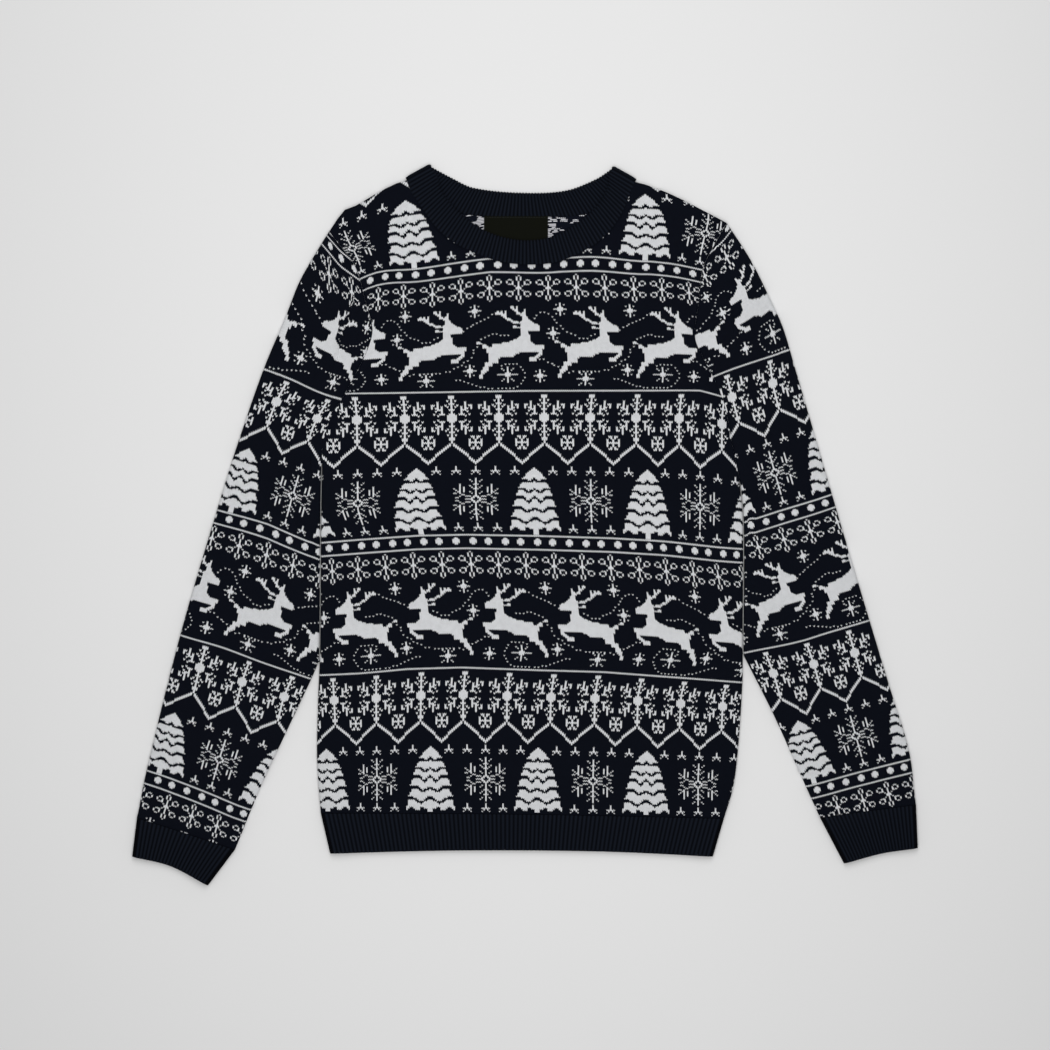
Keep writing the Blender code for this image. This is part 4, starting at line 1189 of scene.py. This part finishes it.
def chartsGroup():
    group, given, result = newGroup("jacquardCharts", ["Stitch", "Row"], ["Snow", "Bands"])
    stitch = nearestWhole(group, given["Stitch"])
    row = nearestWhole(group, given["Row"])
    rows = repeat["rows"]
    rowIn = calc(group, "FLOORED_MODULO", row, rows)
    upperReader = chartReader("snowflakeChart", snowflakeChart())
    upperMask = useGroup(group, upperReader, Row=rowIn,
                         Stitch=calc(group, "FLOORED_MODULO", stitch, repeat["snowflakeStitches"]))[0]
    upperMask = calc(group, "MULTIPLY", upperMask,
                     calc(group, "LESS_THAN", rowIn, repeat["snowflakeRows"] - 0.5))
    deerFrom = repeat["periods"][-1][0]
    turned = isNumber(group, calc(group, "FLOORED_MODULO", repeatsIn(group, row, rows), 2.0), 0.0)
    turned = calc(group, "MULTIPLY", turned, fromRow(group, rowIn, deerFrom))
    other = calc(group, "MULTIPLY_ADD", stitch, -2.0, repeat["turnedAbout"])
    stitchThere = calc(group, "MULTIPLY_ADD", other, turned, stitch)
    period = None
    for (first, count), before in zip(repeat["periods"], [0] + [p[1] for p in repeat["periods"]]):
        step = calc(group, "MULTIPLY", fromRow(group, rowIn, first), count - before)
        period = calc(group, "MAXIMUM", step, 1.0) if period is None else calc(group, "ADD", period, step)
    lowerReader = chartReader("lowerBandsChart", lowerChart())
    lowerMask = useGroup(group, lowerReader, Stitch=calc(group, "FLOORED_MODULO", stitchThere, period),
                         Row=calc(group, "SUBTRACT", rowIn, repeat["lowerFrom"]))[0]
    lowerMask = calc(group, "MULTIPLY", lowerMask, fromRow(group, rowIn, repeat["lowerFrom"]))
    group.links.new(upperMask, result["Snow"])
    group.links.new(lowerMask, result["Bands"])
    return group


def patternGroup():
    group, given, result = newGroup("jacquardPattern", ["Place"], ["Mask", "Across", "Along"])
    u, v = partsOf(group, given["Place"])
    side = fromMiddle(group, calc(group, "FRACT", calc(group, "ADD", u, 0.5)))
    bow = stitchShape["bow"]
    bent = calc(group, "ADD", v, calc(group, "MULTIPLY_ADD", side, bow, -0.5 * bow))
    raised = calc(group, "ADD", bent, 0.5)
    rows = repeat["rows"]
    shiftAcross, shiftDown = stitchShape["thin"]
    charts = chartsGroup()
    # the denser bands are read at two places a little apart: only what both show is off-white
    masks = [useGroup(group, charts, Stitch=calc(group, "ADD", u, sign * shiftAcross),
                      Row=calc(group, "ADD", bent, sign * shiftDown))["Bands"] for sign in (-1, 1)]
    mask = calc(group, "MAXIMUM", calc(group, "MINIMUM", *masks),
                useGroup(group, charts, Stitch=u, Row=bent)["Snow"])
    for line in repeat["lines"]:
        centred = calc(group, "FLOORED_MODULO", calc(group, "ADD", bent, rows / 2 - line), rows)
        near = calc(group, "LESS_THAN", calc(group, "ABSOLUTE", calc(group, "SUBTRACT", centred, rows / 2)),
                    stitchShape["lineHalf"])
        mask = calc(group, "MAXIMUM", mask, near)
    first, last = repeat["hemRows"]
    plain = calc(group, "MULTIPLY", calc(group, "GREATER_THAN", v, first), calc(group, "LESS_THAN", v, last))
    mask = calc(group, "MULTIPLY", mask, calc(group, "SUBTRACT", 1.0, plain))
    group.links.new(mask, result["Mask"])
    group.links.new(side, result["Across"])
    group.links.new(calc(group, "FRACT", raised), result["Along"])
    return group


def reliefGroup():
    # one knitted stitch: two leaning strands that meet at its foot, with a small gap to the next row
    group, given, result = newGroup("stitchRelief", ["Across", "Along"], ["Height", "GapShade"])
    strand = calc(group, "SINE", calc(group, "MULTIPLY", given["Across"], math.pi))
    strand = calc(group, "POWER", calc(group, "MAXIMUM", strand, 0.0), stitchShape["roundness"])
    row = fromMiddle(group, given["Along"])
    gap = calc(group, "POWER", row, stitchShape["gapSharpness"])
    height = calc(group, "MULTIPLY", strand,
                  calc(group, "MULTIPLY_ADD", gap, -stitchShape["gapDepth"], 1.0))
    group.links.new(height, result["Height"])
    # painted shade mask: one less the height, darkest where the stitch lies low in its gaps
    group.links.new(calc(group, "SUBTRACT", 1.0, height), result["GapShade"])
    return group


def newMaterial(name, roughness, specular=0.05):
    material = bpy.data.materials.new(name)
    material.use_nodes = True
    tree = material.node_tree
    shader = tree.nodes["Principled BSDF"]
    shader.inputs["Roughness"].default_value = roughness
    shader.inputs["Specular IOR Level"].default_value = specular
    return material, tree, shader


def uvOf(tree):
    node = tree.nodes.new("ShaderNodeUVMap")
    node.uv_map = "knit"
    return node.outputs[0]


def localOf(tree):
    return tree.nodes.new("ShaderNodeTexCoord").outputs["Object"]


def noiseOf(tree, place, scale, detail=2.0):
    node = tree.nodes.new("ShaderNodeTexNoise")
    for title, value in (("Scale", scale), ("Detail", detail), ("Vector", place)):
        feed(tree, node.inputs[title], value)
    return node.outputs[0]


def bumpOn(tree, shader, height, strength, distance):
    node = tree.nodes.new("ShaderNodeBump")
    for title, value in (("Strength", strength), ("Distance", distance), ("Height", height)):
        feed(tree, node.inputs[title], value)
    tree.links.new(node.outputs[0], shader.inputs["Normal"])


yarn = {
    "navy": (0.0040, 0.0054, 0.0104),
    # painted shade: the navy darkened in the gaps between stitches and rows
    "navyGapShade": (0.0013, 0.0018, 0.0038),
    "white": (0.775, 0.785, 0.80),
    # painted shade: the off-white darkened in the gaps between stitches and rows
    "whiteGapShade": (0.30, 0.31, 0.33),
    "rib": (0.0066, 0.0090, 0.0150),
    # painted shade: the rib navy darkened in the hollows between ribs
    "ribGapShade": (0.0008, 0.0010, 0.0020),
    "float": (0.58, 0.58, 0.61),
    "satin": (0.0034, 0.0038, 0.0023),
    "satinLit": (0.0054, 0.0060, 0.0037),
}


# Noise scales are for places in metres. A shade is the swing and the darkest share, a bump is strength
# and height.
knitFinish = {
    "roughness": 0.92,
    "cloudScale": 260,
    "fibre": (2600, 3),         # scale, detail
    "cloudShade": (0.24, 0.88),
    "fibreShade": (0.3, 0.85),
    # how narrowly the off-white's painted shade keeps to the gaps: above 1 keeps it narrow
    "whiteValleyShade": 1.6,
    "jacquardFibre": 0.25,
    "jacquardBump": (0.6, 0.0004),
    "ribLean": 0.6,             # rows of a rib stitch rise by this towards its sides
    # how narrowly the ribs' painted shade keeps to their hollows
    "ribValleyShade": 1.3,
    "ribFibre": 0.3,
    "ribBump": (0.5, 0.0004),
}
floatFinish = {
    "roughness": 0.95,
    "barPace": 0.35,
    "rowJump": 7.31,            # sets one row's bars apart from the next
    "barsOver": 0.44,
    "barHalf": 0.7,
    "bump": (0.5, 0.0005),
}
satinFinish = {"roughness": 0.8, "specular": 0.04, "weaveScale": 700, "bump": (0.3, 0.0001)}


def jacquardMaterial(name, pattern, relief):
    material, tree, shader = newMaterial(name, knitFinish["roughness"])
    shape = useGroup(tree, pattern, Place=uvOf(tree))
    bumps = useGroup(tree, relief, Across=shape["Across"], Along=shape["Along"])
    local = localOf(tree)
    cloud = noiseOf(tree, local, knitFinish["cloudScale"])
    fibre = noiseOf(tree, local, *knitFinish["fibre"])
    # painted shade: the navy and the off-white darken in the gaps between stitches and rows
    navy = blendColours(tree, bumps["GapShade"], yarn["navy"], yarn["navyGapShade"])
    valleyShade = calc(tree, "POWER", bumps["GapShade"], knitFinish["whiteValleyShade"])
    white = blendColours(tree, valleyShade, yarn["white"], yarn["whiteGapShade"])
    colour = blendColours(tree, shape["Mask"], navy, white)
    shade = calc(tree, "MULTIPLY_ADD", cloud, *knitFinish["cloudShade"])
    shade = calc(tree, "MULTIPLY", shade, calc(tree, "MULTIPLY_ADD", fibre, *knitFinish["fibreShade"]))
    grey = tree.nodes.new("ShaderNodeCombineColor")
    for socket in grey.inputs:
        tree.links.new(shade, socket)
    colour = blendColours(tree, 1.0, colour, grey.outputs[0], "MULTIPLY")
    tree.links.new(colour, shader.inputs["Base Color"])
    height = calc(tree, "MULTIPLY_ADD", fibre, knitFinish["jacquardFibre"], bumps["Height"])
    bumpOn(tree, shader, height, *knitFinish["jacquardBump"])
    return material


def ribMaterial(name, relief):
    material, tree, shader = newMaterial(name, knitFinish["roughness"])
    u, v = partsOf(tree, uvOf(tree))
    side = fromMiddle(tree, calc(tree, "FRACT", u))
    lean = calc(tree, "FRACT", calc(tree, "MULTIPLY_ADD", side, knitFinish["ribLean"], v))
    bumps = useGroup(tree, relief, Across=side, Along=lean)
    fibre = noiseOf(tree, localOf(tree), *knitFinish["fibre"])
    # painted shade: the rib navy darkens towards the hollow at each side of a rib
    valleyShade = calc(tree, "POWER", side, knitFinish["ribValleyShade"])
    colour = blendColours(tree, valleyShade, yarn["rib"], yarn["ribGapShade"])
    tree.links.new(colour, shader.inputs["Base Color"])
    height = calc(tree, "MULTIPLY_ADD", fibre, knitFinish["ribFibre"], bumps["Height"])
    bumpOn(tree, shader, height, *knitFinish["ribBump"])
    return material


def floatMaterial(name, pattern):
    # the wrong side: carried yarns lie as short bars over the rows
    material, tree, shader = newMaterial(name, floatFinish["roughness"])
    place = uvOf(tree)
    shape = useGroup(tree, pattern, Place=place)
    u, v = partsOf(tree, place)
    row = calc(tree, "FLOOR", v)
    cell = tree.nodes.new("ShaderNodeCombineXYZ")
    tree.links.new(calc(tree, "MULTIPLY", u, floatFinish["barPace"]), cell.inputs[0])
    tree.links.new(calc(tree, "MULTIPLY", row, floatFinish["rowJump"]), cell.inputs[1])
    noise = noiseOf(tree, cell.outputs[0], 1.0, 0.0)
    bars = calc(tree, "GREATER_THAN", noise, floatFinish["barsOver"])
    side = fromMiddle(tree, calc(tree, "FRACT", v))
    bars = calc(tree, "MULTIPLY", bars, calc(tree, "LESS_THAN", side, floatFinish["barHalf"]))
    mask = calc(tree, "MULTIPLY", bars, calc(tree, "SUBTRACT", 1.0, shape["Mask"]))
    colour = blendColours(tree, mask, yarn["navy"], yarn["float"])
    tree.links.new(colour, shader.inputs["Base Color"])
    bumpOn(tree, shader, calc(tree, "SUBTRACT", 1.0, side), *floatFinish["bump"])
    return material


def satinMaterial(name):
    material, tree, shader = newMaterial(name, satinFinish["roughness"], satinFinish["specular"])
    wave = tree.nodes.new("ShaderNodeTexWave")
    wave.wave_type = "BANDS"
    wave.bands_direction = "Y"
    wave.inputs["Scale"].default_value = satinFinish["weaveScale"]
    tree.links.new(localOf(tree), wave.inputs["Vector"])
    colour = blendColours(tree, wave.outputs[1], yarn["satin"], yarn["satinLit"])
    tree.links.new(colour, shader.inputs["Base Color"])
    bumpOn(tree, shader, wave.outputs[1], *satinFinish["bump"])
    return material


def plainMaterial(name, colour, *finish):
    material, tree, shader = newMaterial(name, *finish)
    feed(tree, shader.inputs["Base Color"], colour)
    return material


patternNodes, reliefNodes = patternGroup(), reliefGroup()
jacquard = jacquardMaterial("jacquardKnit", patternNodes, reliefNodes)
floats = floatMaterial("floatSide", patternNodes)
ribbed = ribMaterial("ribKnit", reliefNodes)
satin = satinMaterial("labelSatin")
paleFloor = plainMaterial("paleFloor", (0.8, 0.8, 0.8), 0.9)
sewingThread = plainMaterial("labelThread", (0.012, 0.013, 0.012), 0.6, 0.3)

# Neck label: a plain satin strip with its ends turned under, stitched along its upper edge.
labelStrip = {
    "width": 64.0,
    "depth": 30.0,
    "middleX": -9.0,
    "top": 310.2,
    "lift": 2.45,           # height of its underside
    "thickness": 0.5,
    "squares": (80, 36),
    "turnIn": 3.2,          # width of the turned ends
    "turnRise": 0.35,
    "turnEase": 0.7,
    "restsOn": 0.1,
    "sag": 0.1,
    "sagPaces": (0.21, 0.17),
    "sagStarts": (0.9, 0.4),
    "stitchEvery": 2.6,
    "stitchInset": 1.5,
    "stitchRadius": 0.18,
    "stitchLength": 1.5,
    "stitchRise": 0.62,
    "edgeRound": 0.12,
    "smoothAngle": math.radians(40),
}


def makeLabel(name, node, material, thread):
    width, depth = labelStrip["width"] * millimetre, labelStrip["depth"] * millimetre
    middleY = labelStrip["top"] - labelStrip["depth"] / 2 - originY
    middle = (labelStrip["middleX"] * millimetre, middleY * millimetre, labelStrip["lift"] * millimetre)
    bpy.ops.object.select_all(action="DESELECT")
    across, down = labelStrip["squares"]
    bpy.ops.mesh.primitive_grid_add(x_subdivisions=across, y_subdivisions=down, size=1, location=middle)
    piece = bpy.context.active_object
    piece.name = name
    piece.scale = (width, depth, 1)
    bpy.ops.object.transform_apply(location=True, rotation=False, scale=True)
    for vertex in piece.data.vertices:
        x = abs(vertex.co.x - middle[0]) / millimetre
        y = (vertex.co.y - middle[1]) / millimetre
        end = smoothStep((x - labelStrip["width"] / 2 + labelStrip["turnIn"]) / labelStrip["turnEase"])
        sag = labelStrip["sag"]
        for value, pace, start in zip((x, y), labelStrip["sagPaces"], labelStrip["sagStarts"]):
            sag = sag * math.sin(pace * value + start)
        vertex.co.z += (labelStrip["turnRise"] * end + sag * (1 - end) + labelStrip["restsOn"]) * millimetre
    solid = piece.modifiers.new("clothThickness", "SOLIDIFY")
    solid.thickness = labelStrip["thickness"] * millimetre
    solid.offset = 1.0
    edge = piece.modifiers.new("softEdges", "BEVEL")
    edge.width = labelStrip["edgeRound"] * millimetre
    edge.segments = 2
    edge.limit_method = "ANGLE"
    for modifier in ("clothThickness", "softEdges"):
        bpy.ops.object.modifier_apply(modifier=modifier)
    bpy.ops.object.shade_smooth_by_angle(angle=labelStrip["smoothAngle"])
    piece.data.materials.append(material)
    takePlaceOf(piece, node)
    stitches = []
    count = int(labelStrip["width"] / labelStrip["stitchEvery"]) - 1
    for i in range(count):
        offset = (i - (count - 1) / 2) * labelStrip["stitchEvery"] * millimetre
        place = (middle[0] + offset, middle[1] + depth / 2 - labelStrip["stitchInset"] * millimetre,
                 middle[2] + labelStrip["stitchRise"] * millimetre)
        bpy.ops.mesh.primitive_cylinder_add(vertices=8, radius=labelStrip["stitchRadius"] * millimetre,
                                            depth=labelStrip["stitchLength"] * millimetre, location=place,
                                            rotation=(0, math.radians(90), 0))
        stitches.append(bpy.context.active_object)
    bpy.ops.object.select_all(action="DESELECT")
    for stitch in stitches:
        stitch.select_set(True)
    bpy.context.view_layer.objects.active = stitches[0]
    bpy.ops.object.join()
    bpy.ops.object.transform_apply(location=True, rotation=True, scale=True)
    seam = bpy.context.active_object
    seam.name = name + "Stitches"
    bpy.ops.object.shade_smooth_by_angle(angle=labelStrip["smoothAngle"])
    seam.data.materials.append(thread)
    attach(seam, "root")
    return seam


knit = [jacquard, floats]
print("body panels")
makePanel("backPanel", "back_panel", "neckBack", False, knit)
makePanel("frontPanel", "front_panel", "neckFront", True, knit)
print("sleeves and cuffs")
for side in ("left", "right"):
    makeSleeve("sleeve" + side.capitalize(), side, "sleeve_" + side, knit)
    makeCuff("cuff" + side.capitalize(), side, "cuff_" + side, ribbed)
print("hem and neckband")
makeHem("hemBack", "hem_back", False, ribbed)
makeHem("hemFront", "hem_front", True, ribbed)
makeNeckband("neckband", "collar", ribbed)
print("label")
labelStitches = makeLabel("neckLabel", "neck_label", satin, sewingThread)

# Camera, light and floor
studio = {
    "cameraHeight": 2.484,
    "lens": 85.0,
    "sensor": 36.0,
    "floorSize": 12.0,
    "keyPlace": (0.0, 0.35, 1.35),
    "keyWidth": 0.8,
    "keyLength": 2.4,
    "keyPower": 17.0,
    "skyStrength": 0.395,
}
print("floor, light and camera")
bpy.ops.object.select_all(action="DESELECT")
bpy.ops.mesh.primitive_plane_add(size=studio["floorSize"], location=(0, 0, 0))
floor = bpy.context.active_object
floor.name = "floor"
floor.data.materials.append(paleFloor)
bpy.ops.object.camera_add(location=(0, 0, studio["cameraHeight"]), rotation=(0, 0, 0))
camera = bpy.context.active_object
camera.data.lens = studio["lens"]
camera.data.sensor_width = studio["sensor"]
bpy.context.scene.camera = camera
bpy.ops.object.light_add(type="AREA", location=studio["keyPlace"], rotation=(0, 0, 0))
key = bpy.context.active_object
key.data.shape = "RECTANGLE"
key.data.size = studio["keyWidth"]
key.data.size_y = studio["keyLength"]
key.data.energy = studio["keyPower"]
world = bpy.context.scene.world or bpy.data.worlds.new("studio")
bpy.context.scene.world = world
world.use_nodes = True
world.node_tree.nodes["Background"].inputs["Color"].default_value = (1.0, 1.0, 1.0, 1.0)
world.node_tree.nodes["Background"].inputs["Strength"].default_value = studio["skyStrength"]
bpy.context.scene.view_settings.view_transform = "Standard"
